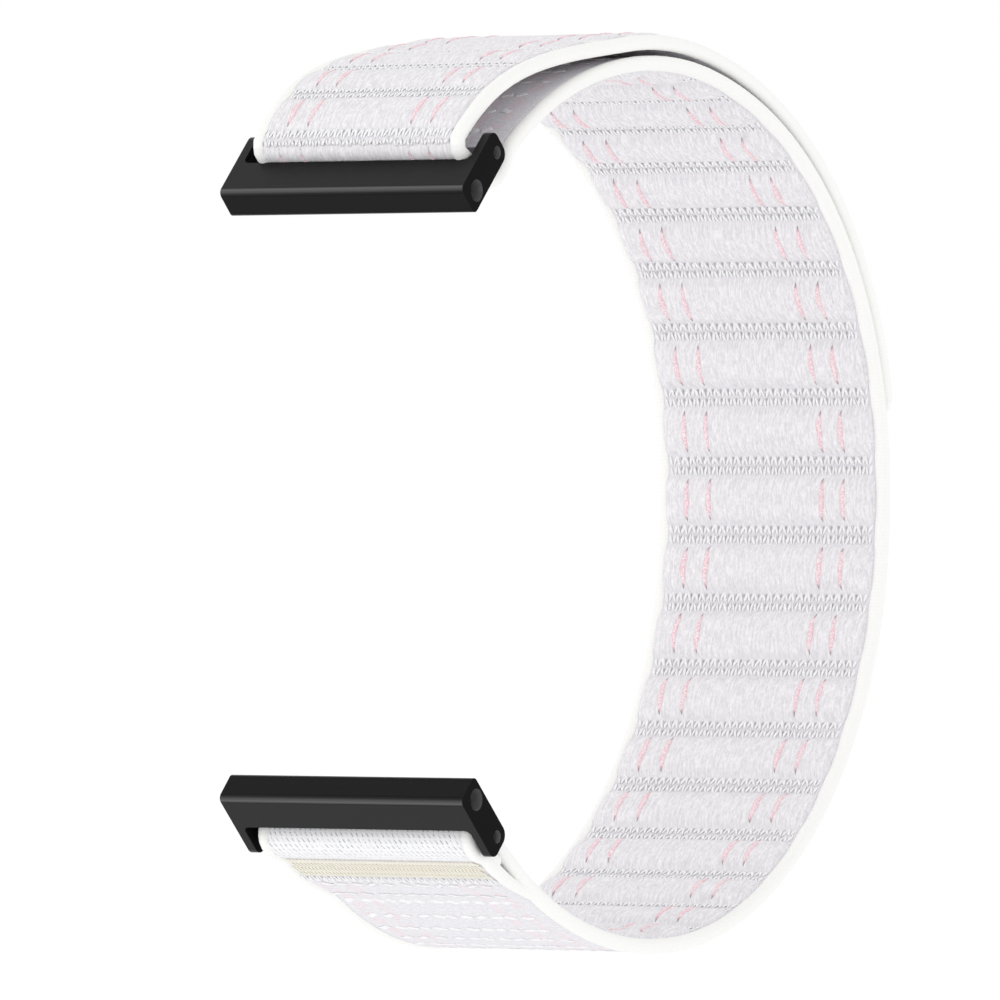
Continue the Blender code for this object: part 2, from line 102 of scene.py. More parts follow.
@dataclass(frozen=True)
class StrapSizes:
    """The strap's own sizes in metres and radians, the same as in its CAD source."""

    loop_radius: float = 0.0344
    back_bulge: float = 0.0006
    back_bulge_middle: float = math.radians(36.0)
    back_bulge_reach: float = math.radians(42.0)
    rib_pitch: float = 0.00561
    back_rib_rise: float = 0.00036
    upper_ribs: int = 14
    back_ribs: int = 4
    lower_ribs: int = 4
    front_ribs: int = 5
    tail_base_ribs: int = 5
    tail_middle_ribs: int = 5
    tail_tip_ribs: int = 4
    band_width: float = 0.0214
    tail_width: float = 0.0209
    slot_band_width: float = 0.0196
    taper_length: float = 0.032
    web_thickness: float = 0.00084
    rib_height: float = 0.00085
    tail_rib_height: float = 0.00038
    edge_diameter: float = 0.0012
    layer_step: float = 0.00162
    bar_tilt: float = math.radians(8.5)
    upper_pin_ahead: float = 0.0043
    upper_pin_out: float = 0.00227
    lower_pin_ahead: float = 0.00597
    lower_pin_out: float = 0.0009
    slot_step: float = 0.0014
    wrist_reach: float = 0.0032
    tail_reach: float = 0.0029
    upper_fold_shares: tuple[tuple[float, float], ...] = ((0.45, -1.0), (-0.08, -0.84), (-0.36, -0.44))
    tail_fold_shares: tuple[tuple[float, float], ...] = ((-1.24, 0.44), (-1.4, 0.76))
    tail_landing: float = 0.0188
    lead_in_share: float = 0.34
    lead_out_share: float = 0.38
    tail_leaving: float = math.radians(45.0)
    wrap_radius: float = 0.00125
    flap_length: float = 0.0032
    flap_shares: tuple[tuple[float, float], ...] = ((0.31, 0.8), (0.69, 0.12), (1.0, -0.24))
    leg_shares: tuple[tuple[float, float], ...] = ((1.1, -1.2), (0.47, -1.08))
    seal_length: float = 0.0014
    tail_nip: float = 0.0003
    tail_skew: float = 0.00045
    nip_reach: float = 0.011


def on_circle(radius: float, angle: float) -> Vector:
    """Point of a circle about the wrist's axis, as Y and Z."""
    return Vector((radius * math.cos(angle), radius * math.sin(angle)))


def smooth_run(knots: Sequence[Vector], start_direction: Vector, end_direction: Vector) -> Run:
    """A smooth curve through knots.

    Args:
        knots: Points that the curve goes through, as Y and Z.
        start_direction: Unit direction in which it leaves the first knot.
        end_direction: Unit direction in which it reaches the last one.

    Returns:
        Points along the curve, the first and last knot among them.
    """
    slopes = [start_direction * (knots[1] - knots[0]).length]
    slopes += [(after - before) / 2 for before, after in zip(knots, knots[2:])]
    slopes.append(end_direction * (knots[-1] - knots[-2]).length)
    points = [knots[0]]
    for index in range(len(knots) - 1):
        for step in range(1, PATH_STEPS + 1):
            t = step / PATH_STEPS
            points.append(
                knots[index] * (2 * t**3 - 3 * t**2 + 1)
                + slopes[index] * (t**3 - 2 * t**2 + t)
                + knots[index + 1] * (3 * t**2 - 2 * t**3)
                + slopes[index + 1] * (t**3 - t**2)
            )
    return points


class CentreLine:
    """A line in the YZ plane with lengths measured along it."""

    def __init__(self, points: Run) -> None:
        """Measure the line's steps and the direction at each of its points."""
        self.points = points
        self.lengths = [0.0]
        steps = [second - first for first, second in zip(points, points[1:])]
        for step in steps:
            self.lengths.append(self.lengths[-1] + step.length)
        units = [step.normalized() for step in steps]
        self.directions = [units[0]]
        self.directions += [(before + after).normalized() for before, after in zip(units, units[1:])]
        self.directions.append(units[-1])

    def length(self) -> float:
        """The whole length."""
        return self.lengths[-1]

    def at(self, distance: float) -> tuple[Vector, Vector]:
        """Point and direction at a distance along the line.

        Args:
            distance: Metres from the line's start.

        Returns:
            The point and the unit direction there, as Y and Z.
        """
        step = min(max(bisect.bisect_right(self.lengths, distance) - 1, 0), len(self.points) - 2)
        share = (distance - self.lengths[step]) / (self.lengths[step + 1] - self.lengths[step])
        direction = self.directions[step].lerp(self.directions[step + 1], share).normalized()
        return self.points[step].lerp(self.points[step + 1], share), direction


class BarPlace:
    """Where an end bar lies: its pin, and the directions from bore to pin and outwards."""

    def __init__(self, angle: float, travel: Vector, ahead: float, out: float, sizes: StrapSizes) -> None:
        """Set the pin ahead of one end of the ribbed band.

        Args:
            angle: Angle round the wrist at which the ribbed band ends.
            travel: Direction in which the band goes on towards the bar.
            ahead: Distance from that end to the pin along travel.
            out: Distance of the pin outwards.
            sizes: The strap's sizes.
        """
        outward = on_circle(1, angle)
        self.pin = on_circle(sizes.loop_radius, angle) + travel * ahead + outward * out
        self.along = outward * math.sin(sizes.bar_tilt) - travel * math.cos(sizes.bar_tilt)
        self.outward = outward * math.cos(sizes.bar_tilt) + travel * math.sin(sizes.bar_tilt)

    def point(self, along: float, outward: float) -> Vector:
        """Point at distances from the pin, as Y and Z."""
        return self.pin + self.along * along + self.outward * outward

    def frame(self) -> Matrix:
        """Matrix from across, along and outward to the row frame."""
        return Matrix((
            (1, 0, 0, 0),
            (0, self.along.x, self.outward.x, self.pin.x),
            (0, self.along.y, self.outward.y, self.pin.y),
            (0, 0, 0, 1),
        ))


class StrapPath:
    """The band's way from the flap to the tail's end, and its width along it."""

    def __init__(self, sizes: StrapSizes) -> None:
        """Lay the centre line and find the joints' stations on it."""
        self.sizes = sizes
        rib_angle = sizes.rib_pitch / sizes.loop_radius
        back_valley = (sizes.back_rib_rise - sizes.rib_pitch / 2) / sizes.loop_radius
        self.upper_end = back_valley + sizes.upper_ribs * rib_angle
        self.lower_end = back_valley - (sizes.back_ribs + sizes.lower_ribs + sizes.front_ribs) * rib_angle
        self.upper_bar = BarPlace(
            self.upper_end, on_circle(1, self.upper_end + math.pi / 2),
            sizes.upper_pin_ahead, sizes.upper_pin_out, sizes,
        )
        self.lower_bar = BarPlace(
            self.lower_end, on_circle(1, self.lower_end - math.pi / 2),
            sizes.lower_pin_ahead, sizes.lower_pin_out, sizes,
        )
        lower_run = self._lower_fold()
        main_run = lower_run + self._loop_run(0, self.lower_end, self.upper_end)[1:]
        fold_run = main_run + self._upper_fold()[1:]
        self.line = CentreLine(fold_run + self._tail()[1:])
        self.band_start = CentreLine(lower_run).length()
        self.front_hinge = self.band_start + sizes.front_ribs * sizes.rib_pitch
        self.lower_hinge = self.front_hinge + sizes.lower_ribs * sizes.rib_pitch
        self.back_hinge = self.lower_hinge + sizes.back_ribs * sizes.rib_pitch
        self.band_end = CentreLine(main_run).length()
        self.tail_hinge = CentreLine(fold_run).length()
        self.tail_middle_hinge = self.tail_hinge + sizes.tail_base_ribs * sizes.rib_pitch
        self.tip_hinge = self.tail_middle_hinge + sizes.tail_middle_ribs * sizes.rib_pitch
        self.tail_end = self.tip_hinge + sizes.tail_tip_ribs * sizes.rib_pitch

    def _on_loop(self, step_out: float, angle: float) -> Vector:
        """Point of the loop or of a layer outside it; it bulges a little at the upper back."""
        away = min(1, abs(angle - self.sizes.back_bulge_middle) / self.sizes.back_bulge_reach)
        radius = self.sizes.loop_radius + step_out + self.sizes.back_bulge * (1 - away * away) ** 2
        return on_circle(radius, angle)

    def _loop_run(self, step_out: float, start: float, end: float) -> Run:
        """Points of the loop between two angles."""
        steps = max(2, math.ceil(abs(end - start) / ARC_STEP))
        return [self._on_loop(step_out, start + (end - start) * step / steps) for step in range(steps + 1)]

    def _lower_fold(self) -> Run:
        """From the flap's end round the lower pin to the start of the ribbed band."""
        sizes, bar = self.sizes, self.lower_bar
        flap, leg = (
            [bar.point(along * sizes.flap_length, out * sizes.wrap_radius) for along, out in reversed(shares)]
            for shares in (sizes.flap_shares, sizes.leg_shares)
        )
        top = bar.point(0, sizes.wrap_radius)
        bottom = bar.point(0, -sizes.wrap_radius)
        points = smooth_run([*flap, top], (flap[1] - flap[0]).normalized(), -bar.along)
        for step in range(1, PATH_STEPS):
            turn = math.pi * step / PATH_STEPS
            points.append(bar.point(-sizes.wrap_radius * math.sin(turn), sizes.wrap_radius * math.cos(turn)))
        end = on_circle(sizes.loop_radius, self.lower_end)
        return points + smooth_run([bottom, *leg, end], bar.along, on_circle(1, self.lower_end + math.pi / 2))

    def _upper_fold(self) -> Run:
        """From the end of the ribbed band through the upper bar to the tail's first valley."""
        sizes, bar = self.sizes, self.upper_bar
        inner = [bar.point(along * sizes.wrist_reach, out * sizes.wrist_reach)
                 for along, out in sizes.upper_fold_shares]
        outer = [bar.point(along * sizes.slot_step, out * sizes.tail_reach)
                 for along, out in sizes.tail_fold_shares]
        leaving = bar.along * math.cos(sizes.tail_leaving) + bar.outward * math.sin(sizes.tail_leaving)
        knots = [
            on_circle(sizes.loop_radius, self.upper_end), *inner, bar.point(-sizes.slot_step, 0), *outer,
            bar.point(-sizes.slot_step, sizes.tail_reach),
        ]
        return smooth_run(knots, on_circle(1, self.upper_end + math.pi / 2), leaving)

    def _tail(self) -> Run:
        """From the tail's first valley down on to the band and along it."""
        sizes, bar = self.sizes, self.upper_bar
        hinge = bar.point(-sizes.slot_step, sizes.tail_reach)
        outer_radius = sizes.loop_radius + sizes.layer_step
        landing_angle = self.upper_end - sizes.tail_landing / outer_radius
        landing = self._on_loop(sizes.layer_step, landing_angle)
        span = (landing - hinge).length
        first = hinge + bar.along * (span * sizes.lead_in_share)
        second = landing - on_circle(1, landing_angle - math.pi / 2) * (span * sizes.lead_out_share)
        points = []
        for step in range(PATH_STEPS * 2 + 1):
            t = step / (PATH_STEPS * 2)
            points.append(
                hinge * (1 - t) ** 3
                + first * (3 * t * (1 - t) ** 2)
                + second * (3 * t**2 * (1 - t))
                + landing * t**3
            )
        ribs = sizes.tail_base_ribs + sizes.tail_middle_ribs + sizes.tail_tip_ribs
        reach = (ribs * sizes.rib_pitch + sizes.seal_length) / outer_radius
        return points + self._loop_run(sizes.layer_step, landing_angle, landing_angle - reach)[1:]

    def half_width(self, distance: float) -> float:
        """Half the band's width: narrow where it goes through an end bar, full further on."""
        sizes = self.sizes
        if distance < (self.band_start + self.band_end) / 2:
            full, away = sizes.band_width, distance - self.band_start
        elif distance < self.band_end:
            full, away = sizes.band_width, self.band_end - distance
        else:
            full, away = sizes.tail_width, distance - self.tail_hinge
        share = min(1, max(0, away / sizes.taper_length))
        width = sizes.slot_band_width + (full - sizes.slot_band_width) * share * share * (3 - 2 * share)
        return width / 2 - sizes.tail_nip * self._near_bar(distance)

    def _near_bar(self, distance: float) -> float:
        """How near the tail is to the upper bar's ears, where it is drawn in a little: 1 there, 0 away from it."""
        away = abs(distance - self.tail_hinge + 0.001) / self.sizes.nip_reach
        return (1 - away * away) ** 2 if away < 1 else 0.0

    def placed(self, distance: float, across: float, height: float) -> Vector:
        """Point of the band in the row frame.

        Args:
            distance: Metres along the centre line.
            across: Metres to the right of the middle.
            height: Metres from the middle of the web, positive on the ribbed side.

        Returns:
            The point.
        """
        point, direction = self.line.at(distance)
        skewed = across + self.sizes.tail_skew * self._near_bar(distance)
        return Vector((skewed, point.x - direction.y * height, point.y + direction.x * height))

    def centre(self, distance: float) -> Vector:
        """Middle of the web at a distance, in the row frame."""
        return self.placed(distance, 0, 0)


@dataclass(frozen=True)
class Motion:
    """How a piece moves: with one body; a piece that names a second body to bend to is tied to neither, its placement
    is only baked in.
    """

    body: str
    bends_to: str = ""
    start: tuple[float, float, float] = (0.0, 0.0, 0.0)
    end: tuple[float, float, float] = (0.0, 0.0, 0.0)

    def give(self, piece: bpy.types.Object) -> None:
        """Tie a piece to its body; a bending piece is not tied, its placement is only baked in."""
        if self.bends_to:
            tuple(self.start)
            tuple(self.end)
            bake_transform(piece)
        else:
            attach(piece, self.body)


@dataclass(frozen=True)
class Stretch:
    """One stretch of ribbed band between two of its valleys."""

    name: str
    nodes: str
    valleys: tuple[float, ...]
    motion: Motion
    lead_in: float = 0.0
    first_rib: int = 0

    def ribs(self) -> int:
        """How many ribs it has."""
        return len(self.valleys) - 1

    def distance(self, place: float) -> float:
        """Distance along the strap at a place counted in ribs from the stretch's first valley."""
        rib = min(max(math.floor(place), 0), self.ribs() - 1)
        return self.valleys[rib] + (place - rib) * (self.valleys[rib + 1] - self.valleys[rib])

    def start_place(self) -> float:
        """Where the stretch starts, counted in ribs."""
        return -self.lead_in / (self.valleys[1] - self.valleys[0])


def linked(mesh: bmesh.types.BMesh, name: str, materials: Sequence[bpy.types.Material]) -> bpy.types.Object:
    """Make an object at the origin from a finished mesh.

    Args:
        mesh: The mesh, in the row frame. It is freed.
        name: The object's name.
        materials: Its material slots in order.

    Returns:
        The linked object, shaded smooth.
    """
    for face in mesh.faces:
        face.smooth = True
    data = bpy.data.meshes.new(name)
    mesh.to_mesh(data)
    mesh.free()
    for material in materials:
        data.materials.append(material)
    piece = bpy.data.objects.new(name, data)
    bpy.context.scene.collection.objects.link(piece)
    return piece


def handed(piece: bpy.types.Object, motion: Motion, slot: Slot, nodes: Sequence[str] = ()) -> bpy.types.Object:
    """Hide the CAD nodes that a finished piece stands for, and pass it to its motion.

    Args:
        piece: The finished object.
        motion: How it moves.
        slot: Not used.
        nodes: CAD nodes that it stands for.

    Returns:
        The same object.
    """
    if nodes:
        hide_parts(*nodes)
    motion.give(piece)
    LOG.info("%s: %d faces, with %s", piece.name, len(piece.data.polygons), motion.body)
    return piece


def swept(
    around: int,
    along: int,
    place: Callable[[int, float], Vector],
    marks: Callable[[int, float], tuple[float, float]],
    back_from: int = 0,
) -> bmesh.types.BMesh:
    """Wrap a flat grid into a closed tube along the strap.

    Args:
        around: Faces round the section.
        along: Faces along the path.
        place: Point for a column round the section and a share along the path.
        marks: Weave coordinates for the same column and share.
        back_from: Column from which faces take the second material; none where it is 0.

    Returns:
        The closed mesh with flat ends.
    """
    mesh = bmesh.new()
    bmesh.ops.create_grid(mesh, x_segments=around, y_segments=along, size=0.5)
    weave = mesh.loops.layers.uv.new(WEAVE_MAP)
    for face in mesh.faces:
        middle = (face.calc_center_median().x + 0.5) * around
        face.material_index = 1 if back_from and middle > back_from else 0
        for loop in face.loops:
            column = round((loop.vert.co.x + 0.5) * around)
            loop[weave].uv = marks(column, loop.vert.co.y + 0.5)
    for vertex in mesh.verts:
        vertex.co = place(round((vertex.co.x + 0.5) * around) % around, vertex.co.y + 0.5)
    bmesh.ops.remove_doubles(mesh, verts=mesh.verts, dist=MERGE_DISTANCE)
    rims = [edge for edge in mesh.edges if edge.is_boundary]
    for cap in bmesh.ops.holes_fill(mesh, edges=rims, sides=0)["faces"]:
        for edge in cap.edges:
            edge.smooth = False
    bmesh.ops.recalc_face_normals(mesh, faces=mesh.faces)
    return mesh


@dataclass(frozen=True)
class Weave:
    """The web's section: ribs on one side, flat loop pile on the other."""

    columns: int = 52
    rib_steps: int = 26
    rib_half_share: float = 0.35
    crown: float = 2.4
    shoulder: float = 0.62
    end_reach: float = 0.055
    end_height: float = 0.5
    end_roundness: float = 2.5
    tuck: float = 0.00022
    ripple: float = 0.000016

    def around(self) -> int:
        """Faces round the section."""
        return 2 * self.columns + 2

    def rise(self, phase: float) -> float:
        """Share of the rib's height at a phase from 0 to 1 between two valleys."""
        off = abs(phase - 0.5) / self.rib_half_share
        return max(0.0, 1.0 - off**self.crown) ** self.shoulder if off < 1 else 0.0

    def end_rise(self, share: float) -> float:
        """Share of the rib's height at a share of the way across the web."""
        near = min(1.0, min(share, 1 - share) / self.end_reach)
        return self.end_height + (1 - self.end_height) * (1 - (1 - near) ** self.end_roundness)

    def column(self, index: int) -> tuple[bool, float]:
        """Whether a column is on the ribbed side, and its share of the way across."""
        if index <= self.columns:
            return True, index / self.columns
        return False, (2 * self.columns + 1 - index) / self.columns


def web_half(path: StrapPath, distance: float, tuck: float) -> float:
    """Half the width of the web between its tubular edges, with a little tucked into them."""
    return path.half_width(distance) - path.sizes.edge_diameter + tuck


@dataclass(frozen=True)
class Tint:
    """A colour as it looks on a screen, each part from 0 to 255."""

    red: float
    green: float
    blue: float

    def linear(self) -> tuple[float, float, float, float]:
        """The colour as a shader takes it."""
        parts = [part / 255 for part in (self.red, self.green, self.blue)]
        return (*(part / 12.92 if part <= 0.04045 else ((part + 0.055) / 1.055) ** 2.4 for part in parts), 1.0)


class Graph:
    """A node tree with short calls for the nodes that the finishes share."""

    def __init__(self, tree: bpy.types.NodeTree) -> None:
        """Work on one tree."""
        self.tree = tree

    def node(self, kind: str, **settings: object) -> bpy.types.Node:
        """Add a node and set its options."""
        made = self.tree.nodes.new(kind)
        for name, value in settings.items():
            setattr(made, name, value)
        return made

    def feed(self, target: Socket, source: Socket | float | tuple[float, ...]) -> None:
        """Link a socket, or set its constant."""
        if isinstance(source, bpy.types.NodeSocket):
            self.tree.links.new(source, target)
        else:
            target.default_value = source

    def math(self, operation: str, *values: Socket | float) -> Socket:
        """One Math node."""
        made = self.node("ShaderNodeMath", operation=operation)
        for target, value in zip(made.inputs, values):
            self.feed(target, value)
        return made.outputs[0]

    def step(self, value: Socket | float, low: float, high: float) -> Socket:
        """Rise smoothly from 0 at low to 1 at high, or fall where low is above high."""
        made = self.node("ShaderNodeMapRange", interpolation_type="SMOOTHSTEP")
        rising = low < high
        self.feed(made.inputs["Value"], value)
        self.feed(made.inputs["From Min"], low if rising else high)
        self.feed(made.inputs["From Max"], high if rising else low)
        self.feed(made.inputs["To Min"], 0.0 if rising else 1.0)
        self.feed(made.inputs["To Max"], 1.0 if rising else 0.0)
        return made.outputs["Result"]

    def mix(self, share: Socket | float, first: Socket | tuple, second: Socket | tuple) -> Socket:
        """Mix two colours."""
        made = self.node("ShaderNodeMix", data_type="RGBA")
        self.feed(made.inputs["Factor"], share)
        self.feed(made.inputs[6], first)
        self.feed(made.inputs[7], second)
        return made.outputs[2]

    def noise(self, vector: Socket, scale: float, detail: float = 2.0, roughness: float = 0.5) -> Socket:
        """Noise between 0 and 1 at a place."""
        made = self.node("ShaderNodeTexNoise", noise_dimensions="3D")
        self.feed(made.inputs["Vector"], vector)
        self.feed(made.inputs["Scale"], scale)
        self.feed(made.inputs["Detail"], detail)
        self.feed(made.inputs["Roughness"], roughness)
        return made.outputs["Fac"]

    def vector(self, *parts: Socket | float) -> Socket:
        """Three numbers as one vector."""
        made = self.node("ShaderNodeCombineXYZ")
        for target, value in zip(made.inputs, parts):
            self.feed(target, value)
        return made.outputs[0]

    def weave_place(self) -> tuple[Socket, Socket]:
        """Millimetres across the band and ribs along it, from the piece's own UV map."""
        parts = self.node("ShaderNodeSeparateXYZ")
        self.feed(parts.inputs[0], self.node("ShaderNodeUVMap", uv_map=WEAVE_MAP).outputs[0])
        return parts.outputs[0], parts.outputs[1]

    def bump(self, height: Socket, strength: float, distance: float) -> Socket:
        """A normal from a height between 0 and 1 and its depth in metres."""
        made = self.node("ShaderNodeBump")
        self.feed(made.inputs["Height"], height)
        self.feed(made.inputs["Strength"], strength)
        self.feed(made.inputs["Distance"], distance)
        return made.outputs[0]


class SharedNodes:
    """Shader node groups that several finishes use."""

    def __init__(self) -> None:
        """Build each group once."""
        self.thread_grain = self._thread_grain()
        self.fine_grain = self._fine_grain()

    def _thread_grain(self) -> bpy.types.NodeTree:
        """Group for spun thread: long streaks along the yarn and short specks on it.

        Returns:
            A group with Across and Along in millimetres, giving Streaks and Specks from 0 to 1.
        """
        tree = bpy.data.node_groups.new("thread_grain", "ShaderNodeTree")
        for name in ("Across", "Along"):
            tree.interface.new_socket(name=name, in_out="INPUT", socket_type="NodeSocketFloat")
        for name in ("Streaks", "Specks"):
            tree.interface.new_socket(name=name, in_out="OUTPUT", socket_type="NodeSocketFloat")
        graph = Graph(tree)
        source = graph.node("NodeGroupInput")
        result = graph.node("NodeGroupOutput")
        across, along = source.outputs[0], source.outputs[1]
        streak_place = graph.vector(graph.math("MULTIPLY", across, 5.2), graph.math("MULTIPLY", along, 0.85), 0.0)
        speck_place = graph.vector(graph.math("MULTIPLY", across, 7.0), graph.math("MULTIPLY", along, 3.2), 4.0)
        graph.feed(result.inputs[0], graph.step(graph.noise(streak_place, 1.0, 2.0, 0.6), 0.3, 0.7))
        graph.feed(result.inputs[1], graph.step(graph.noise(speck_place, 1.0, 1.0, 0.5), 0.35, 0.7))
        return tree

    def _fine_grain(self) -> bpy.types.NodeTree:
        """Group for fine grain on hard surfaces.

        Returns:
            A group with Place in metres and Fineness, giving Grain and Cloud from 0 to 1.
        """
        tree = bpy.data.node_groups.new("fine_grain", "ShaderNodeTree")
        tree.interface.new_socket(name="Place", in_out="INPUT", socket_type="NodeSocketVector")
        tree.interface.new_socket(name="Fineness", in_out="INPUT", socket_type="NodeSocketFloat")
        for name in ("Grain", "Cloud"):
            tree.interface.new_socket(name=name, in_out="OUTPUT", socket_type="NodeSocketFloat")
        graph = Graph(tree)
        source = graph.node("NodeGroupInput")
        result = graph.node("NodeGroupOutput")
        scaled = graph.node("ShaderNodeVectorMath", operation="SCALE")
        graph.feed(scaled.inputs[0], source.outputs[0])
        graph.feed(scaled.inputs["Scale"], source.outputs[1])
        graph.feed(result.inputs[0], graph.noise(scaled.outputs[0], 1.0, 2.0, 0.6))
        graph.feed(result.inputs[1], graph.noise(scaled.outputs[0], 0.08, 3.0, 0.55))
        return tree


def started(name: str) -> tuple[Graph, bpy.types.Node]:
    """Start a material.

    Args:
        name: The material's name.

    Returns:
        Its graph and its Principled shader.
    """
    material = bpy.data.materials.new(name)
    material.use_nodes = True
    return Graph(material.node_tree), material.node_tree.nodes["Principled BSDF"]


def material_of(graph: Graph) -> bpy.types.Material:
    """The material whose tree a graph holds."""
    return next(item for item in bpy.data.materials if item.node_tree == graph.tree)


def thread_place(graph: Graph, shared: SharedNodes, pitch: float) -> tuple[Socket, Socket, Socket, Socket]:
    """Add the thread grain at the weave's own coordinates.

    Args:
        graph: The material's graph.
        shared: The shared groups.
        pitch: Length of a rib in metres.

    Returns:
        Millimetres across, ribs along, streaks and specks.
    """
    across, ribs = graph.weave_place()
    grain = graph.node("ShaderNodeGroup", node_tree=shared.thread_grain)
    graph.feed(grain.inputs["Across"], across)
    graph.feed(grain.inputs["Along"], graph.math("MULTIPLY", ribs, pitch * MILLIMETRES))
    return across, ribs, grain.outputs["Streaks"], grain.outputs["Specks"]


@dataclass(frozen=True)
class RibbedWeave:
    """The ribbed face: smooth lengthwise floats over each rib, a grey ground in the valleys, and painted shade in the
    gap inside each knitted stitch.
    """

    name: str = "ribbed_weave"
    light: Tint = Tint(253, 251, 253)
    shade: Tint = Tint(222, 220, 224)
    ground: Tint = Tint(235, 233, 237)
    # Tint of the painted shade in the gap inside each knitted stitch.
    eyelet_shade: Tint = Tint(186, 184, 190)
    eyelet_step: float = 0.7037
    eyelet_rows: tuple[float, float] = (-0.22, 0.56)
    eyelet_reach: float = 0.24
    eyelet_edge: float = 9.0
    valley: float = 1.0
    roughness: float = 0.82

    def build(self, shared: SharedNodes, pitch: float) -> bpy.types.Material:
        """Make the material.

        Args:
            shared: The shared groups.
            pitch: Length of a rib in metres.

        Returns:
            The material.
        """
        graph, shader = started(self.name)
        across, ribs, streaks, specks = thread_place(graph, shared, pitch)
        off = graph.math("ABSOLUTE", graph.math("SUBTRACT", graph.math("FRACT", ribs), 0.5))
        ragged = graph.math("MULTIPLY_ADD", specks, -0.045, graph.math("ADD", off, 0.0225))
        valley = graph.math("MULTIPLY", graph.step(ragged, 0.33, 0.375), self.valley)
        threads = graph.math("ADD", graph.math("MULTIPLY", streaks, 0.65), graph.math("MULTIPLY", specks, 0.35))
        face = graph.mix(threads, self.shade.linear(), self.light.linear())
        colour = graph.mix(valley, face, self.ground.linear())
        # Painted shade in the gaps of the knitted stitches.
        if self.valley:
            colour = graph.mix(self._eyelet_shade_mask(graph, across, ribs, pitch), colour, self.eyelet_shade.linear())
        graph.feed(shader.inputs["Base Color"], colour)
        graph.feed(shader.inputs["Roughness"], self.roughness)
        graph.feed(shader.inputs["Specular IOR Level"], 0.25)
        graph.feed(shader.inputs["Sheen Weight"], 0.1)
        graph.feed(shader.inputs["Normal"], graph.bump(threads, 0.75, 0.00005))
        return material_of(graph)

    def _eyelet_shade_mask(self, graph: Graph, across: Socket, ribs: Socket, pitch: float) -> Socket:
        """Where painted shade darkens the gap inside each stitch of the two knitted rows, from 0 to 1.

        Args:
            graph: The material's graph.
            across: Millimetres across the band.
            ribs: Ribs along it.
            pitch: Length of a rib in metres.

        Returns:
            Where the gaps are.
        """
        columns = graph.math("MULTIPLY", across, 1 / self.eyelet_step)
        aside = graph.math("SUBTRACT", graph.math("FRACT", graph.math("ADD", columns, 100.5)), 0.5)
        aside = graph.math("MULTIPLY", aside, self.eyelet_step * 1.7)
        turned = graph.math("SUBTRACT", graph.math("FRACT", graph.math("ADD", ribs, 100.5)), 0.5)
        along = graph.math("MULTIPLY", turned, pitch * MILLIMETRES)
        found: Socket | float = 0.0
        for row in self.eyelet_rows:
            off = graph.math("SUBTRACT", along, row)
            away = graph.math("SQRT", graph.math(
                "ADD", graph.math("MULTIPLY", off, off), graph.math("MULTIPLY", aside, aside)))
            found = graph.math("MAXIMUM", found, graph.step(away, self.eyelet_reach, self.eyelet_reach / 3))
        inside = graph.step(graph.math("ABSOLUTE", across), self.eyelet_edge, self.eyelet_edge - 0.3)
        return graph.math("MULTIPLY", found, inside)


@dataclass(frozen=True)
class PileWeave:
    """The flat back: a lavender-grey ground of short loops with faint pink columns."""

    name: str = "pile_weave"
    light: Tint = Tint(245, 244, 247)
    shade: Tint = Tint(229, 227, 232)
    blush: Tint = Tint(249, 218, 224)
    roughness: float = 0.9
    pink_lines: tuple[float, ...] = (-7.6, -5.5, 5.1, 7.1)

    def build(self, shared: SharedNodes, pitch: float) -> bpy.types.Material:
        """Make the material.

        Args:
            shared: The shared groups.
            pitch: Length of a rib in metres.

        Returns:
            The material.
        """
        graph, shader = started(self.name)
        across, ribs, streaks, specks = thread_place(graph, shared, pitch)
        along = graph.math("MULTIPLY", ribs, pitch * MILLIMETRES)
        loops = graph.step(graph.noise(graph.vector(
            graph.math("MULTIPLY", across, 2.2), graph.math("MULTIPLY", along, 3.4), 9.0), 1.0, 2.0, 0.6), 0.36, 0.66)
        fuzz = graph.math("ADD", graph.math("MULTIPLY", loops, 0.6), graph.math("MULTIPLY", specks, 0.4))
        colour = graph.mix(fuzz, self.shade.linear(), self.light.linear())
        patches = graph.step(graph.noise(graph.vector(
            graph.math("MULTIPLY", across, 0.7), graph.math("MULTIPLY", along, 0.62), 4.0), 1.0, 1.0, 0.5), 0.4, 0.56)
        for line in self.pink_lines:
            away = graph.math("ABSOLUTE", graph.math("SUBTRACT", across, line))
            near = graph.math("MULTIPLY", graph.step(away, 0.8, 0.3), graph.math("MULTIPLY", patches, 0.34))
            colour = graph.mix(near, colour, self.blush.linear())
        graph.feed(shader.inputs["Base Color"], colour)
        graph.feed(shader.inputs["Roughness"], self.roughness)
        graph.feed(shader.inputs["Specular IOR Level"], 0.2)
        graph.feed(shader.inputs["Sheen Weight"], 0.15)
        graph.feed(shader.inputs["Normal"], graph.bump(fuzz, 0.45, 0.00008))
        return material_of(graph)


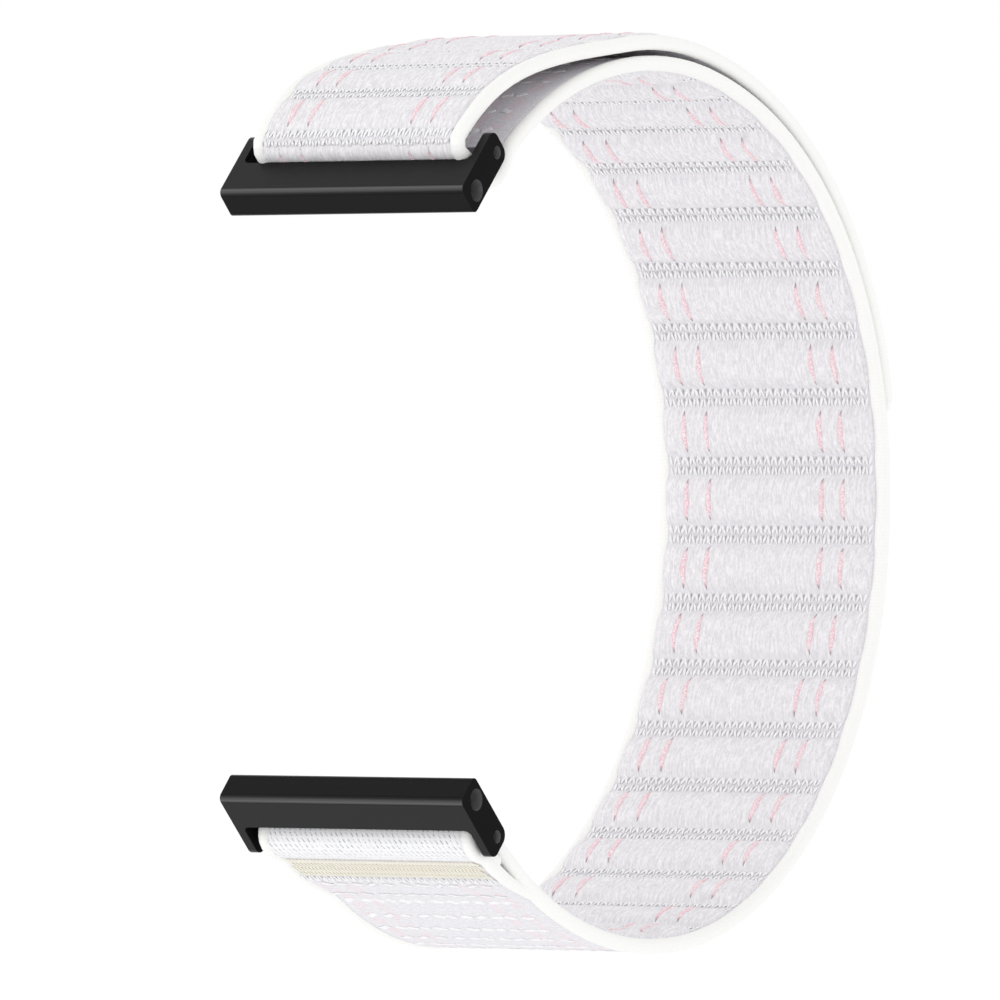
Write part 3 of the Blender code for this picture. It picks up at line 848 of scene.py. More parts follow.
@dataclass(frozen=True)
class TwillWeave:
    """The smooth woven end: white with rows of short slanting gaps."""

    name: str = "twill_weave"
    light: Tint = Tint(253, 253, 254)
    gap: Tint = Tint(190, 188, 195)
    rows_each_millimetre: float = 2.7
    dashes_each_millimetre: float = 2.15
    roughness: float = 0.85

    def build(self, shared: SharedNodes, pitch: float) -> bpy.types.Material:
        """Make the material.

        Args:
            shared: The shared groups.
            pitch: Length of a rib in metres.

        Returns:
            The material.
        """
        graph, shader = started(self.name)
        across, ribs, streaks, specks = thread_place(graph, shared, pitch)
        rows = graph.math("MULTIPLY", ribs, pitch * MILLIMETRES * self.rows_each_millimetre)
        in_row = graph.math("FRACT", rows)
        row = graph.math("FLOOR", rows)
        shift = graph.math("MULTIPLY", row, 0.37)
        columns = graph.math("MULTIPLY", across, self.dashes_each_millimetre)
        slanting = graph.math("ADD", graph.math("ADD", columns, shift), graph.math("MULTIPLY", in_row, 0.7))
        off = graph.math("ABSOLUTE", graph.math("SUBTRACT", graph.math("FRACT", slanting), 0.5))
        dash = graph.math("MULTIPLY", graph.step(off, 0.15, 0.05), graph.step(in_row, 0.12, 0.3))
        dash = graph.math("MULTIPLY", dash, graph.step(in_row, 0.95, 0.75))
        dash = graph.math("MULTIPLY", dash, graph.math("MULTIPLY_ADD", specks, 0.85, 0.15))
        face = graph.mix(streaks, Tint(245, 245, 247).linear(), self.light.linear())
        graph.feed(shader.inputs["Base Color"], graph.mix(dash, face, self.gap.linear()))
        graph.feed(shader.inputs["Roughness"], self.roughness)
        graph.feed(shader.inputs["Specular IOR Level"], 0.25)
        graph.feed(shader.inputs["Normal"], graph.bump(graph.math("SUBTRACT", 1.0, dash), 0.8, 0.0001))
        return material_of(graph)


@dataclass(frozen=True)
class TubeEdge:
    """The tubular edge and the sealed end: smooth ivory yarn with a fine cross rib."""

    name: str = "tube_edge"
    light: Tint = Tint(254, 254, 252)
    shade: Tint = Tint(250, 250, 247)
    ridges_each_millimetre: float = 3.4
    roughness: float = 0.75

    def build(self, shared: SharedNodes, pitch: float) -> bpy.types.Material:
        """Make the material.

        Args:
            shared: The shared groups.
            pitch: Length of a rib in metres.

        Returns:
            The material.
        """
        graph, shader = started(self.name)
        across, ribs, streaks, specks = thread_place(graph, shared, pitch)
        along = graph.math("MULTIPLY", ribs, pitch * MILLIMETRES * self.ridges_each_millimetre * math.tau)
        ridges = graph.math("MULTIPLY_ADD", graph.math("SINE", along), 0.5, 0.5)
        height = graph.math("ADD", graph.math("MULTIPLY", ridges, 0.6), graph.math("MULTIPLY", specks, 0.4))
        graph.feed(shader.inputs["Base Color"], graph.mix(height, self.shade.linear(), self.light.linear()))
        graph.feed(shader.inputs["Roughness"], self.roughness)
        graph.feed(shader.inputs["Specular IOR Level"], 0.3)
        graph.feed(shader.inputs["Normal"], graph.bump(height, 0.14, 0.00003))
        return material_of(graph)


@dataclass(frozen=True)
class Yarn:
    """A strand of twisted yarn, whose map gives the share along it and the share round it."""

    name: str
    middle: Tint
    fleck: Tint
    tip: Tint
    tip_reach: float = 0.0
    twists: float = 4.0
    roughness: float = 0.8

    def build(self, shared: SharedNodes, pitch: float) -> bpy.types.Material:
        """Make the material.

        Args:
            shared: The shared groups.
            pitch: Length of a rib in metres.

        Returns:
            The material.
        """
        graph, shader = started(self.name)
        share, round_share = graph.weave_place()
        grain = graph.node("ShaderNodeGroup", node_tree=shared.fine_grain)
        graph.feed(grain.inputs["Place"], graph.node("ShaderNodeTexCoord").outputs["Object"])
        graph.feed(grain.inputs["Fineness"], 1 / pitch * 42)
        turn = graph.math("ADD", graph.math("MULTIPLY", share, self.twists), round_share)
        twist = graph.math("MULTIPLY_ADD", graph.math("SINE", graph.math("MULTIPLY", turn, math.tau)), 0.5, 0.5)
        flecks = graph.step(grain.outputs["Grain"], 0.42, 0.62)
        colour = graph.mix(flecks, self.middle.linear(), self.fleck.linear())
        if self.tip_reach:
            off = graph.math("ABSOLUTE", graph.math("SUBTRACT", share, 0.5))
            colour = graph.mix(graph.step(off, 0.5 - self.tip_reach, 0.49), colour, self.tip.linear())
        graph.feed(shader.inputs["Base Color"], colour)
        graph.feed(shader.inputs["Roughness"], self.roughness)
        graph.feed(shader.inputs["Specular IOR Level"], 0.3)
        graph.feed(shader.inputs["Normal"], graph.bump(twist, 0.35, 0.00003))
        return material_of(graph)


@dataclass(frozen=True)
class SatinMetal:
    """Coated or bare metal with a fine grain, and on the bar a painted highlight along the nose's outer ridge."""

    name: str
    tint: Tint
    worn: Tint
    metallic: float
    roughness: float
    specular: float = 0.5
    # Tint of the painted highlight on the nose's outer ridge; none for plain metal.
    ridge_highlight: Tint | None = None

    def build(self, shared: SharedNodes, pitch: float) -> bpy.types.Material:
        """Make the material.

        Args:
            shared: The shared groups.
            pitch: Length of a rib in metres.

        Returns:
            The material.
        """
        graph, shader = started(self.name)
        grain = graph.node("ShaderNodeGroup", node_tree=shared.fine_grain)
        graph.feed(grain.inputs["Place"], graph.node("ShaderNodeTexCoord").outputs["Object"])
        graph.feed(grain.inputs["Fineness"], 1 / pitch * 80)
        wear = graph.step(grain.outputs["Cloud"], 0.55, 0.75)
        colour = graph.mix(wear, self.tint.linear(), self.worn.linear())
        # Painted highlight: the map's second coordinate lightens the nose's outer ridge.
        if self.ridge_highlight:
            colour = graph.mix(graph.weave_place()[1], colour, self.ridge_highlight.linear())
        graph.feed(shader.inputs["Base Color"], colour)
        spread = graph.math("MULTIPLY_ADD", grain.outputs["Grain"], 0.1, self.roughness - 0.05)
        graph.feed(shader.inputs["Roughness"], spread)
        graph.feed(shader.inputs["Metallic"], self.metallic)
        graph.feed(shader.inputs["Specular IOR Level"], self.specular)
        graph.feed(shader.inputs["Normal"], graph.bump(grain.outputs["Grain"], 0.12, 0.00002))
        return material_of(graph)


@dataclass(frozen=True)
class PaintedShadeFlank:
    """The matt flanks and nose of a bar, with painted shade that darkens them from the rounded corners beside the
    satin face.
    """

    name: str = "bar_flank"
    # Painted shade: the corner tone beside the satin face darkens to the flank tone away from it.
    corner: Tint = Tint(44, 44, 45)
    flank_painted_shade: Tint = Tint(15, 15, 16)
    roughness: float = 0.55

    def build(self, shared: SharedNodes, pitch: float) -> bpy.types.Material:
        """Make the material; the piece's map gives how far a place is from the face, which sets how much painted
        shade it takes.

        Args:
            shared: The shared groups.
            pitch: Length of a rib in metres.

        Returns:
            The material.
        """
        graph, shader = started(self.name)
        away, _ = graph.weave_place()
        grain = graph.node("ShaderNodeGroup", node_tree=shared.fine_grain)
        graph.feed(grain.inputs["Place"], graph.node("ShaderNodeTexCoord").outputs["Object"])
        graph.feed(grain.inputs["Fineness"], 1 / pitch * 80)
        # Painted shade, darker the further a place lies from the satin face.
        graph.feed(shader.inputs["Base Color"], graph.mix(away, self.corner.linear(), self.flank_painted_shade.linear()))
        spread = graph.math("MULTIPLY_ADD", grain.outputs["Grain"], 0.1, self.roughness - 0.05)
        graph.feed(shader.inputs["Roughness"], spread)
        graph.feed(shader.inputs["Specular IOR Level"], 0.03)
        graph.feed(shader.inputs["Normal"], graph.bump(grain.outputs["Grain"], 0.12, 0.00002))
        return material_of(graph)


class Finishes:
    """Every finish of the strap, built once."""

    def __init__(self, pitch: float) -> None:
        """Build the materials."""
        shared = SharedNodes()
        self.ribbed = RibbedWeave().build(shared, pitch)
        self.plain = RibbedWeave(name="plain_weave", valley=0.0).build(shared, pitch)
        self.pile = PileWeave().build(shared, pitch)
        self.twill = TwillWeave().build(shared, pitch)
        self.edge = TubeEdge().build(shared, pitch)
        self.white_yarn = Yarn(
            "white_yarn", Tint(254, 254, 254), Tint(243, 242, 245), Tint(254, 254, 254)
        ).build(shared, pitch)
        self.pink_yarn = Yarn(
            "pink_yarn", Tint(241, 204, 212), Tint(254, 241, 243), Tint(158, 134, 138), tip_reach=0.16
        ).build(shared, pitch)
        self.seam_yarn = Yarn(
            "seam_yarn", Tint(255, 253, 245), Tint(252, 248, 236), Tint(255, 253, 245)
        ).build(shared, pitch)
        self.seam_base = Yarn(
            "seam_base", Tint(229, 223, 204), Tint(220, 213, 193), Tint(229, 223, 204)
        ).build(shared, pitch)
        self.hook_tape = Yarn(
            "hook_tape", Tint(240, 240, 243), Tint(230, 230, 234), Tint(240, 240, 243)
        ).build(shared, pitch)
        # The bar's coating, with a painted highlight along the nose's outer ridge.
        self.bar = SatinMetal(
            "bar_coating", Tint(13, 13, 14), Tint(17, 17, 18), metallic=0.0, roughness=0.34,
            specular=0.19, ridge_highlight=Tint(92, 92, 93),
        ).build(shared, pitch)
        # Painted shade on the bar's flanks and nose.
        self.flank_painted_shade = PaintedShadeFlank().build(shared, pitch)
        self.bore = SatinMetal(
            "bore_metal", Tint(124, 124, 126), Tint(140, 140, 142), metallic=0.3, roughness=0.42
        ).build(shared, pitch)
        self.pin = SatinMetal(
            "pin_steel", Tint(118, 118, 120), Tint(140, 140, 142), metallic=0.9, roughness=0.35
        ).build(shared, pitch)


def strand_template(sides: int, cuts: int) -> bpy.types.Mesh:
    """A strand one unit long along Z, one unit in radius, with its own map.

    Args:
        sides: Sides of its section.
        cuts: Cuts along it.

    Returns:
        The mesh that each strand starts from.
    """
    mesh = bmesh.new()
    bmesh.ops.create_cone(mesh, cap_ends=True, segments=sides, radius1=1, radius2=1, depth=1)
    lengthwise = [edge for edge in mesh.edges if abs(edge.verts[0].co.z - edge.verts[1].co.z) > 0.5]
    bmesh.ops.subdivide_edges(mesh, edges=lengthwise, cuts=cuts)
    bmesh.ops.recalc_face_normals(mesh, faces=mesh.faces)
    own_map = mesh.loops.layers.uv.new(WEAVE_MAP)
    for face in mesh.faces:
        middle = face.calc_center_median()
        face_turn = math.atan2(middle.y, middle.x) / math.tau
        for loop in face.loops:
            turn = math.atan2(loop.vert.co.y, loop.vert.co.x) / math.tau
            loop[own_map].uv = (loop.vert.co.z + 0.5, turn + round(face_turn - turn))
    data = bpy.data.meshes.new("strand")
    mesh.to_mesh(data)
    mesh.free()
    return data


class YarnBed:
    """Strands of yarn gathered in flat coordinates: across, along and height, in metres."""

    def __init__(self, sides: int = 5, cuts: int = 3) -> None:
        """Start an empty bed.

        Args:
            sides: Sides of a strand's section.
            cuts: Cuts along a strand.
        """
        self.template = strand_template(sides, cuts)
        self.mesh = bmesh.new()

    def lay(
        self, course: Callable[[float], Vector], half_width: float, half_height: float, blunt: float = 0.35,
    ) -> None:
        """Lay one strand.

        Args:
            course: Its centre line, for shares from 0 to 1.
            half_width: Half its width in the bed.
            half_height: Half its height.
            blunt: Share of its size that is left at its ends.
        """
        start, end = course(0.0), course(1.0)
        run = (end - start).normalized()
        side = Vector((run.y, -run.x, 0)).normalized()
        rise = run.cross(side)
        if rise.z < 0:
            rise = -rise
        self.mesh.from_mesh(self.template)
        self.mesh.verts.ensure_lookup_table()
        for vertex in self.mesh.verts[-len(self.template.vertices):]:
            share = vertex.co.z + 0.5
            full = blunt + (1 - blunt) * math.sin(math.pi * share) ** 0.7 if 0 < share < 1 else blunt
            width, height = vertex.co.x * half_width * full, vertex.co.y * half_height * full
            vertex.co = course(share) + side * width + rise * height

    def repeat(self, count: int, step: Vector) -> None:
        """Repeat all that lies in the bed, side by side."""
        first = self.mesh.verts[:] + self.mesh.edges[:] + self.mesh.faces[:]
        for turn in range(1, count):
            copied = bmesh.ops.duplicate(self.mesh, geom=first)["geom"]
            moved = [item for item in copied if isinstance(item, bmesh.types.BMVert)]
            bmesh.ops.translate(self.mesh, verts=moved, vec=step * turn)

    def done(self) -> bpy.types.Mesh:
        """The bed as a mesh to copy from; the bed is emptied."""
        bmesh.ops.recalc_face_normals(self.mesh, faces=self.mesh.faces)
        data = bpy.data.meshes.new("yarn_bed")
        self.mesh.to_mesh(data)
        self.mesh.free()
        bpy.data.meshes.remove(self.template)
        return data


def joined_beds(beds: Sequence[bpy.types.Mesh]) -> bmesh.types.BMesh:
    """One mesh that holds copies of several beds, in order."""
    mesh = bmesh.new()
    for bed in beds:
        mesh.from_mesh(bed)
    return mesh


@dataclass
class YarnPatterns:
    """The strands of one rib, in flat coordinates from its first valley to its next."""

    path: StrapPath
    weave: Weave
    columns: int = 27
    row_length: float = 0.00082
    lead_length: float = 0.00042
    strand_half_width: float = 0.000132
    strand_half_height: float = 0.00009
    arch: float = 0.00006
    dash_rows: int = 2
    dash_length: float = 0.00148
    dash_step: float = 0.00156
    dash_half_width: float = 0.00036
    dash_half_height: float = 0.00007
    pink_places: tuple[float, ...] = (-0.0076, -0.0055, 0.0051, 0.0071)
    pink_half_width: float = 0.00027
    pink_half_height: float = 0.00008
    pink_from: float = 0.185
    pink_to: float = 0.815
    beds: dict[str, bpy.types.Mesh] = field(default_factory=dict)

    def build(self) -> None:
        """Gather the beds that every rib is copied from."""
        pitch = self.path.sizes.rib_pitch
        self.beds["after"] = self.stitch_row(0.00002, self.row_length, 1.0)
        self.beds["before"] = self.stitch_row(pitch - self.row_length, pitch - 0.00002, 0.82)
        self.beds["lead"] = self.stitch_row(pitch - self.lead_length, pitch - 0.00002, 0.82)
        self.beds["dashes"] = self._dashes()
        self.beds["pink"] = self._pink(self.pink_from * pitch, self.pink_to * pitch)

    def stitch_row(self, low: float, high: float, spread: float) -> bpy.types.Mesh:
        """One row of knitted stitches, each two strands that meet in a point.

        Args:
            low: Where the row starts along the strap.
            high: Where it ends.
            spread: How far apart the strands stand at their open end, as a share.

        Returns:
            The row as a bed.
        """
        half = self.path.sizes.band_width / 2 - self.path.sizes.edge_diameter
        step = 2 * half / self.columns
        base = self.path.sizes.web_thickness / 2
        bed = YarnBed()
        for side in (-1, 1):

            def course(share: float, side: int = side) -> Vector:
                lean = side * step * (0.09 + 0.37 * spread * share**0.8)
                return Vector((
                    step / 2 - half + lean,
                    low + (high - low) * share,
                    base + self.arch * math.sin(math.pi * min(1.0, 0.12 + share)) + 0.00003,
                ))

            bed.lay(course, self.strand_half_width, self.strand_half_height)
        bed.repeat(self.columns, Vector((step, 0, 0)))
        return bed.done()

    def dash_row(self, bed: YarnBed, draw: random.Random, middle: float, height: float) -> None:
        """Lay one row of short wavy dashes across the band.

        Args:
            bed: The bed that takes them.
            draw: Where their unevenness is drawn from.
            middle: Where the row lies along the strap.
            height: Height of the dashes.
        """
        half = self.path.sizes.band_width / 2 - self.path.sizes.edge_diameter
        across = -half + draw.uniform(0.1, 0.9) * self.dash_step
        while across + self.dash_length < half:
            length = self.dash_length * draw.uniform(0.7, 1.0)
            wave = draw.uniform(0.00006, 0.00016) * draw.choice((-1, 1))
            tilt = draw.uniform(-0.00016, 0.00016)

            def course(share: float, across: float = across, length: float = length,
                       wave: float = wave, tilt: float = tilt) -> Vector:
                return Vector((
                    across + length * share,
                    middle + wave * math.sin(math.tau * share) + tilt * (share - 0.5),
                    height,
                ))

            bed.lay(course, self.dash_half_width, self.dash_half_height, 0.25)
            across += self.dash_step * draw.uniform(0.8, 1.15)

    def _dashes(self) -> bpy.types.Mesh:
        """Rows of short wavy dashes across the flat back."""
        sizes = self.path.sizes
        draw = random.Random(11)
        bed = YarnBed(sides=5, cuts=4)
        for row in range(self.dash_rows):
            middle = sizes.rib_pitch * (row + 0.5) / self.dash_rows
            self.dash_row(bed, draw, middle, -sizes.web_thickness / 2 - 0.00002)
        return bed.done()

    def _pink(self, low: float, high: float) -> bpy.types.Mesh:
        """The four pink floats of a rib, pointed at both ends."""
        bed = YarnBed(sides=6, cuts=11)
        for place in self.pink_places:
            bed.lay(
                lambda share, place=place: Vector((place, low + (high - low) * share, 0.00001)),
                self.pink_half_width, self.pink_half_height, 0.03,
            )
        return bed.done()


@dataclass
class RibbedBand:
    """One ribbed stretch: its web, its two tubular edges, its white stitches and its pink floats."""

    path: StrapPath
    finishes: Finishes
    patterns: YarnPatterns
    weave: Weave
    tube_sides: int = 14
    tube_steps: int = 12

    def rib_height(self, distance: float) -> float:
        """Height of a rib; the tail's ribs are stretched flat on the outside."""
        sizes = self.path.sizes
        return sizes.rib_height if distance < self.path.band_end else sizes.tail_rib_height

    def build(self, stretch: Stretch) -> None:
        """Build the stretch's pieces and pass them to its motion."""
        self._web(stretch)
        for side in Side:
            self._edge(stretch, side)
        self._white_yarn(stretch)
        self._pink_yarn(stretch)

    def surface(self, stretch: Stretch, place: float, share: float) -> float:
        """Height of the ribbed face.

        Args:
            stretch: The stretch.
            place: Ribs from its first valley.
            share: Share of the way across the web.

        Returns:
            Metres above the middle of the web.
        """
        phase = place - math.floor(place) if place > 0 else 0.0
        full = self.rib_height(stretch.distance(place))
        return self.path.sizes.web_thickness / 2 + full * self.weave.rise(phase) * self.weave.end_rise(share)

    def _web(self, stretch: Stretch) -> None:
        """The woven web with its ribs."""
        weave, path = self.weave, self.path
        start = stretch.start_place()
        run = stretch.ribs() - start

        def place(column: int, share: float) -> Vector:
            ribbed, across_share = weave.column(column)
            ribs = start + run * share
            distance = stretch.distance(ribs)
            half = web_half(path, distance, weave.tuck)
            across = half * (2 * across_share - 1)
            wobble = noise.noise(Vector((across * 700, (ribs + stretch.first_rib) * 4.0, 0.5)))
            if ribbed:
                height = self.surface(stretch, ribs, across_share) + weave.ripple * wobble
            else:
                height = weave.ripple * wobble - path.sizes.web_thickness / 2
            return path.placed(distance, across, height)

        def marks(column: int, share: float) -> tuple[float, float]:
            across_share = weave.column(min(column, weave.around() - 1))[1] if column < weave.around() else 0.0
            ribs = start + run * share
            across = web_half(path, stretch.distance(ribs), weave.tuck) * (2 * across_share - 1)
            return across * MILLIMETRES, ribs + stretch.first_rib

        along = round(run * weave.rib_steps)
        mesh = swept(weave.around(), along, place, marks, back_from=weave.columns)
        piece = linked(mesh, f"{stretch.name}_web", (self.finishes.ribbed, self.finishes.pile))
        handed(piece, stretch.motion, Slot.WEBBING, (stretch.nodes,))

    def _edge(self, stretch: Stretch, side: Side) -> None:
        """The tubular edge on one side."""
        start = stretch.start_place()
        run = stretch.ribs() - start
        mesh = edge_tube(
            self.path, side, self.tube_sides, round(run * self.tube_steps),
            lambda share: stretch.distance(start + run * share), stretch.first_rib + start, run,
        )
        name = side.name.lower()
        piece = linked(mesh, f"{stretch.name}_{name}_edge_tube", (self.finishes.edge,))
        handed(piece, stretch.motion, Slot.SELVEDGE, (f"{stretch.nodes}_{name}_edge",))

    def _wrapped(
        self, stretch: Stretch, beds: Sequence[tuple[int, bpy.types.Mesh]], on_rib: bool,
    ) -> bmesh.types.BMesh:
        """Wrap flat beds on to the stretch.

        Args:
            stretch: The stretch.
            beds: Each bed with the rib that it belongs to.
            on_rib: Whether heights are measured from the rib's face.

        Returns:
            The wrapped mesh.
        """
        path, sizes = self.path, self.path.sizes
        flat_half = sizes.band_width / 2 - sizes.edge_diameter
        mesh = joined_beds([bed for _, bed in beds])
        mesh.verts.ensure_lookup_table()
        index = 0
        for rib, bed in beds:
            for vertex in mesh.verts[index:index + len(bed.vertices)]:
                ribs = rib + vertex.co.y / sizes.rib_pitch
                jitter = noise.noise_vector(Vector((vertex.co.x * 1500, (ribs + stretch.first_rib) * 6, 3.0)))
                ribs += jitter.y * 0.028
                distance = stretch.distance(ribs)
                half = web_half(path, distance, 0.0)
                across = (vertex.co.x + jitter.x * 0.00014) * half / flat_half
                height = vertex.co.z
                if on_rib:
                    height += self.surface(stretch, ribs, (across / half + 1) / 2)
                vertex.co = path.placed(distance, across, height)
            index += len(bed.vertices)
        return mesh

    def _white_yarn(self, stretch: Stretch) -> None:
        """The knitted rows in the valleys, and the dashes on the flat back."""
        beds = []
        if stretch.lead_in:
            beds.append((-1, self.patterns.beds["lead"]))
        for rib in range(stretch.ribs()):
            beds += [(rib, self.patterns.beds[name]) for name in ("after", "before", "dashes")]
        mesh = self._wrapped(stretch, beds, on_rib=False)
        piece = linked(mesh, f"{stretch.name}_white_stitches", (self.finishes.white_yarn,))
        handed(piece, stretch.motion, Slot.WEBBING)

    def _pink_yarn(self, stretch: Stretch) -> None:
        """The pink floats over the ribs."""
        beds = [(rib, self.patterns.beds["pink"]) for rib in range(stretch.ribs())]
        mesh = self._wrapped(stretch, beds, on_rib=True)
        piece = linked(mesh, f"{stretch.name}_pink_floats", (self.finishes.pink_yarn,))
        handed(piece, stretch.motion, Slot.WEBBING)


def edge_tube(
    path: StrapPath, side: Side, sides: int, steps: int, distance_at: Callable[[float], float],
    first_mark: float, run: float,
) -> bmesh.types.BMesh:
    """A tubular edge along the strap.

    Args:
        path: The strap's path.
        side: Which edge.
        sides: Sides of its section.
        steps: Steps along it.
        distance_at: Distance along the strap for a share of the tube's length.
        first_mark: Ribs counted at its start, for its map.
        run: Its length in ribs.

    Returns:
        The closed tube.
    """
    radius = path.sizes.edge_diameter / 2

    def place(column: int, share: float) -> Vector:
        distance = distance_at(share)
        turn = math.tau * column / sides
        uneven = 1 + 0.02 * noise.noise(Vector((side.value * 3.0, distance * 900, 0)))
        across = side.value * (path.half_width(distance) - radius) + radius * uneven * math.cos(turn)
        return path.placed(distance, across, radius * uneven * math.sin(turn))

    def marks(column: int, share: float) -> tuple[float, float]:
        return column / sides * math.tau * radius * MILLIMETRES, first_mark + run * share

    return swept(sides, steps, place, marks)


def strip(
    path: StrapPath, start: float, end: float, half_at: Callable[[float], float],
    heights_at: Callable[[float], tuple[float, float]], columns: int = 24, step: float = 0.0002,
) -> bmesh.types.BMesh:
    """A flat strip with round sides along the strap.

    Args:
        path: The strap's path.
        start: Where it starts.
        end: Where it ends.
        half_at: Half its width at a distance.
        heights_at: Its lowest and highest height at a distance.
        columns: Faces across each side.
        step: Length of its faces.

    Returns:
        The closed strip.
    """
    around = 2 * columns
    along = max(2, math.ceil((end - start) / step))

    def place(column: int, share: float) -> Vector:
        distance = start + (end - start) * share
        half = half_at(distance)
        low, high = heights_at(distance)
        radius = (high - low) / 2
        turn = math.tau * column / around
        across = -half * math.cos(turn)
        beyond = max(0.0, abs(across) - (half - radius)) / radius
        lift = radius * math.sqrt(max(0.0, 1 - beyond * beyond)) * (1 if math.sin(turn) > 0 else -1)
        if abs(math.sin(turn)) < 1e-9:
            lift = 0.0
        return path.placed(distance, across, (low + high) / 2 + lift)

    def marks(column: int, share: float) -> tuple[float, float]:
        distance = start + (end - start) * share
        across = -half_at(distance) * math.cos(math.tau * column / around)
        return across * MILLIMETRES, distance / path.sizes.rib_pitch

    return swept(around, along, place, marks)


@dataclass
class Folds:
    """The two plain ends of the band round the pins, the seam of the flap and the stitches beside it."""

    path: StrapPath
    finishes: Finishes
    patterns: YarnPatterns
    weave: Weave
    tail_start: float
    hem_from: float = 0.0022
    hem_rise: float = 0.0005
    hem_bulge: float = 0.0002
    hem_end: float = 0.0046
    hem_columns: int = 24
    hem_steps: int = 36
    seam_start: float = 0.0001
    seam_length: float = 0.0028
    seam_stitches: int = 52
    seam_rows: int = 4
    row_length: float = 0.0012

    def build(self, lower: Motion, upper: Motion) -> None:
        """Build both folds and the seam.

        Args:
            lower: How the lower fold moves.
            upper: How the upper fold moves.
        """
        path = self.path
        self._fold("lower_fold", 0.0, path.band_start, lower, self.finishes.twill)
        self._fold("upper_fold", path.band_end, self.tail_start, upper, self.finishes.plain)
        self._seam(lower)
        self._stubs(upper)

    def _fold(self, name: str, start: float, end: float, motion: Motion, face: bpy.types.Material) -> None:
        """One plain stretch of web with its tubular edges."""
        weave, path = self.weave, self.path
        half_thickness = path.sizes.web_thickness / 2
        pitch = path.sizes.rib_pitch

        def place(column: int, share: float) -> Vector:
            ribbed, across_share = weave.column(column)
            distance = start + (end - start) * share
            across = web_half(path, distance, weave.tuck) * (2 * across_share - 1)
            wobble = weave.ripple * noise.noise(Vector((across * 900, distance * 1500, 2.5)))
            return path.placed(distance, across, half_thickness * (1 if ribbed else -1) + wobble)

        def marks(column: int, share: float) -> tuple[float, float]:
            across_share = weave.column(column)[1] if column < weave.around() else 0.0
            distance = start + (end - start) * share
            across = web_half(path, distance, weave.tuck) * (2 * across_share - 1)
            return across * MILLIMETRES, distance / pitch

        steps = math.ceil((end - start) / 0.0002)
        mesh = swept(weave.around(), steps, place, marks, back_from=weave.columns)
        piece = linked(mesh, f"{name}_web", (face, self.finishes.pile))
        handed(piece, motion, Slot.WEBBING, (name,))
        for side in Side:
            mesh = edge_tube(
                path, side, 14, steps // 2, lambda share: start + (end - start) * share,
                start / pitch, (end - start) / pitch,
            )
            piece = linked(mesh, f"{name}_{side.name.lower()}_edge_tube", (self.finishes.edge,))
            handed(piece, motion, Slot.SELVEDGE)

    def _profile(self, distance: float, height: float) -> Vector:
        """Point at a distance and height on the strap's middle, as Y and Z."""
        point = self.path.placed(distance, 0, height)
        return Vector((point.y, point.z))

    def _hem_lines(self) -> tuple[CentreLine, CentreLine]:
        """The hem's outer line over the flap's end down to the band, and the hidden line under it."""
        path, half = self.path, self.path.sizes.web_thickness / 2
        outer = [
            self._profile(self.hem_from, half + 0.00002),
            self._profile(self.hem_from / 2, half + self.hem_rise / 2),
            self._profile(0.0001, half + self.hem_rise),
        ]
        landing = path.band_start + self.hem_end
        last = self._profile(landing, -half - 0.00002)
        bulge = self.path.lower_bar.outward * self.hem_bulge
        outer += [outer[-1].lerp(last, 0.4) + bulge, last]
        leaving = -path.line.at(self.hem_from)[1]
        arriving = path.line.at(landing)[1]
        inner = [self._profile(self.hem_from, 0), self._profile(0.0001, -half / 2), self._profile(landing, 0)]
        return CentreLine(smooth_run(outer, leaving, arriving)), CentreLine(smooth_run(inner, leaving, arriving))

    def _seam(self, motion: Motion) -> None:
        """The sewn hem of the flap: its swelling, the cream seam and the knitted rows below it."""
        path = self.path
        outer, inner = self._hem_lines()
        full, round_side = web_half(path, 0.0, self.weave.tuck), 0.0004

        def place(column: int, share: float) -> Vector:
            turn = math.tau * column / (2 * self.hem_columns)
            across = -full * math.cos(turn)
            top, bottom = outer.at(share * outer.length())[0], inner.at(share * inner.length())[0]
            beyond = max(0.0, abs(across) - (full - round_side)) / round_side
            lift = math.sqrt(max(0.0, 1 - beyond * beyond))
            if abs(math.sin(turn)) < 1e-9:
                lift = 0.0
            point = (top + bottom) / 2 + (top - bottom) / 2 * (lift if math.sin(turn) > 0 else -lift)
            return Vector((across, point.x, point.y))

        def marks(column: int, share: float) -> tuple[float, float]:
            across = -full * math.cos(math.tau * column / (2 * self.hem_columns))
            return across * MILLIMETRES, share * outer.length() / path.sizes.rib_pitch

        mesh = swept(2 * self.hem_columns, self.hem_steps, place, marks)
        weave_map = mesh.loops.layers.uv[WEAVE_MAP]
        pile_from = (self.seam_start + self.seam_length + self.row_length) / path.sizes.rib_pitch
        for face in mesh.faces:
            if min(loop[weave_map].uv.y for loop in face.loops) > pile_from:
                face.material_index = 1
        handed(linked(mesh, "flap_hem", (self.finishes.plain, self.finishes.pile)), motion, Slot.WEBBING)

        def on_hem(across: float, distance: float, height: float) -> Vector:
            point, direction = outer.at(distance)
            return Vector((across, point.x - direction.y * height, point.y + direction.x * height))

        sign = 1 if on_hem(0, self.seam_start, 0.001).z < on_hem(0, self.seam_start, 0).z else -1
        self._seam_base(motion, on_hem, sign, full)
        self._seam_yarn(motion, on_hem, sign, full, outer.length())
        for side in Side:
            self._hem_tube(motion, side, on_hem, sign, outer.length())

    def _hem_tube(
        self, motion: Motion, side: Side, on_hem: Callable[[float, float, float], Vector], sign: int,
        length: float,
    ) -> None:
        """The tubular edge of the flap, going on over the hem down to the band's own edge."""
        radius = self.path.sizes.edge_diameter / 2
        middle = self.path.half_width(0.0) - radius
        sides = 14

        def place(column: int, share: float) -> Vector:
            size = radius * (1 - 0.45 * share)
            turn = math.tau * column / sides
            height = size * (math.sin(turn) - 0.8)
            return on_hem(side.value * middle + size * math.cos(turn), length * share, sign * height)

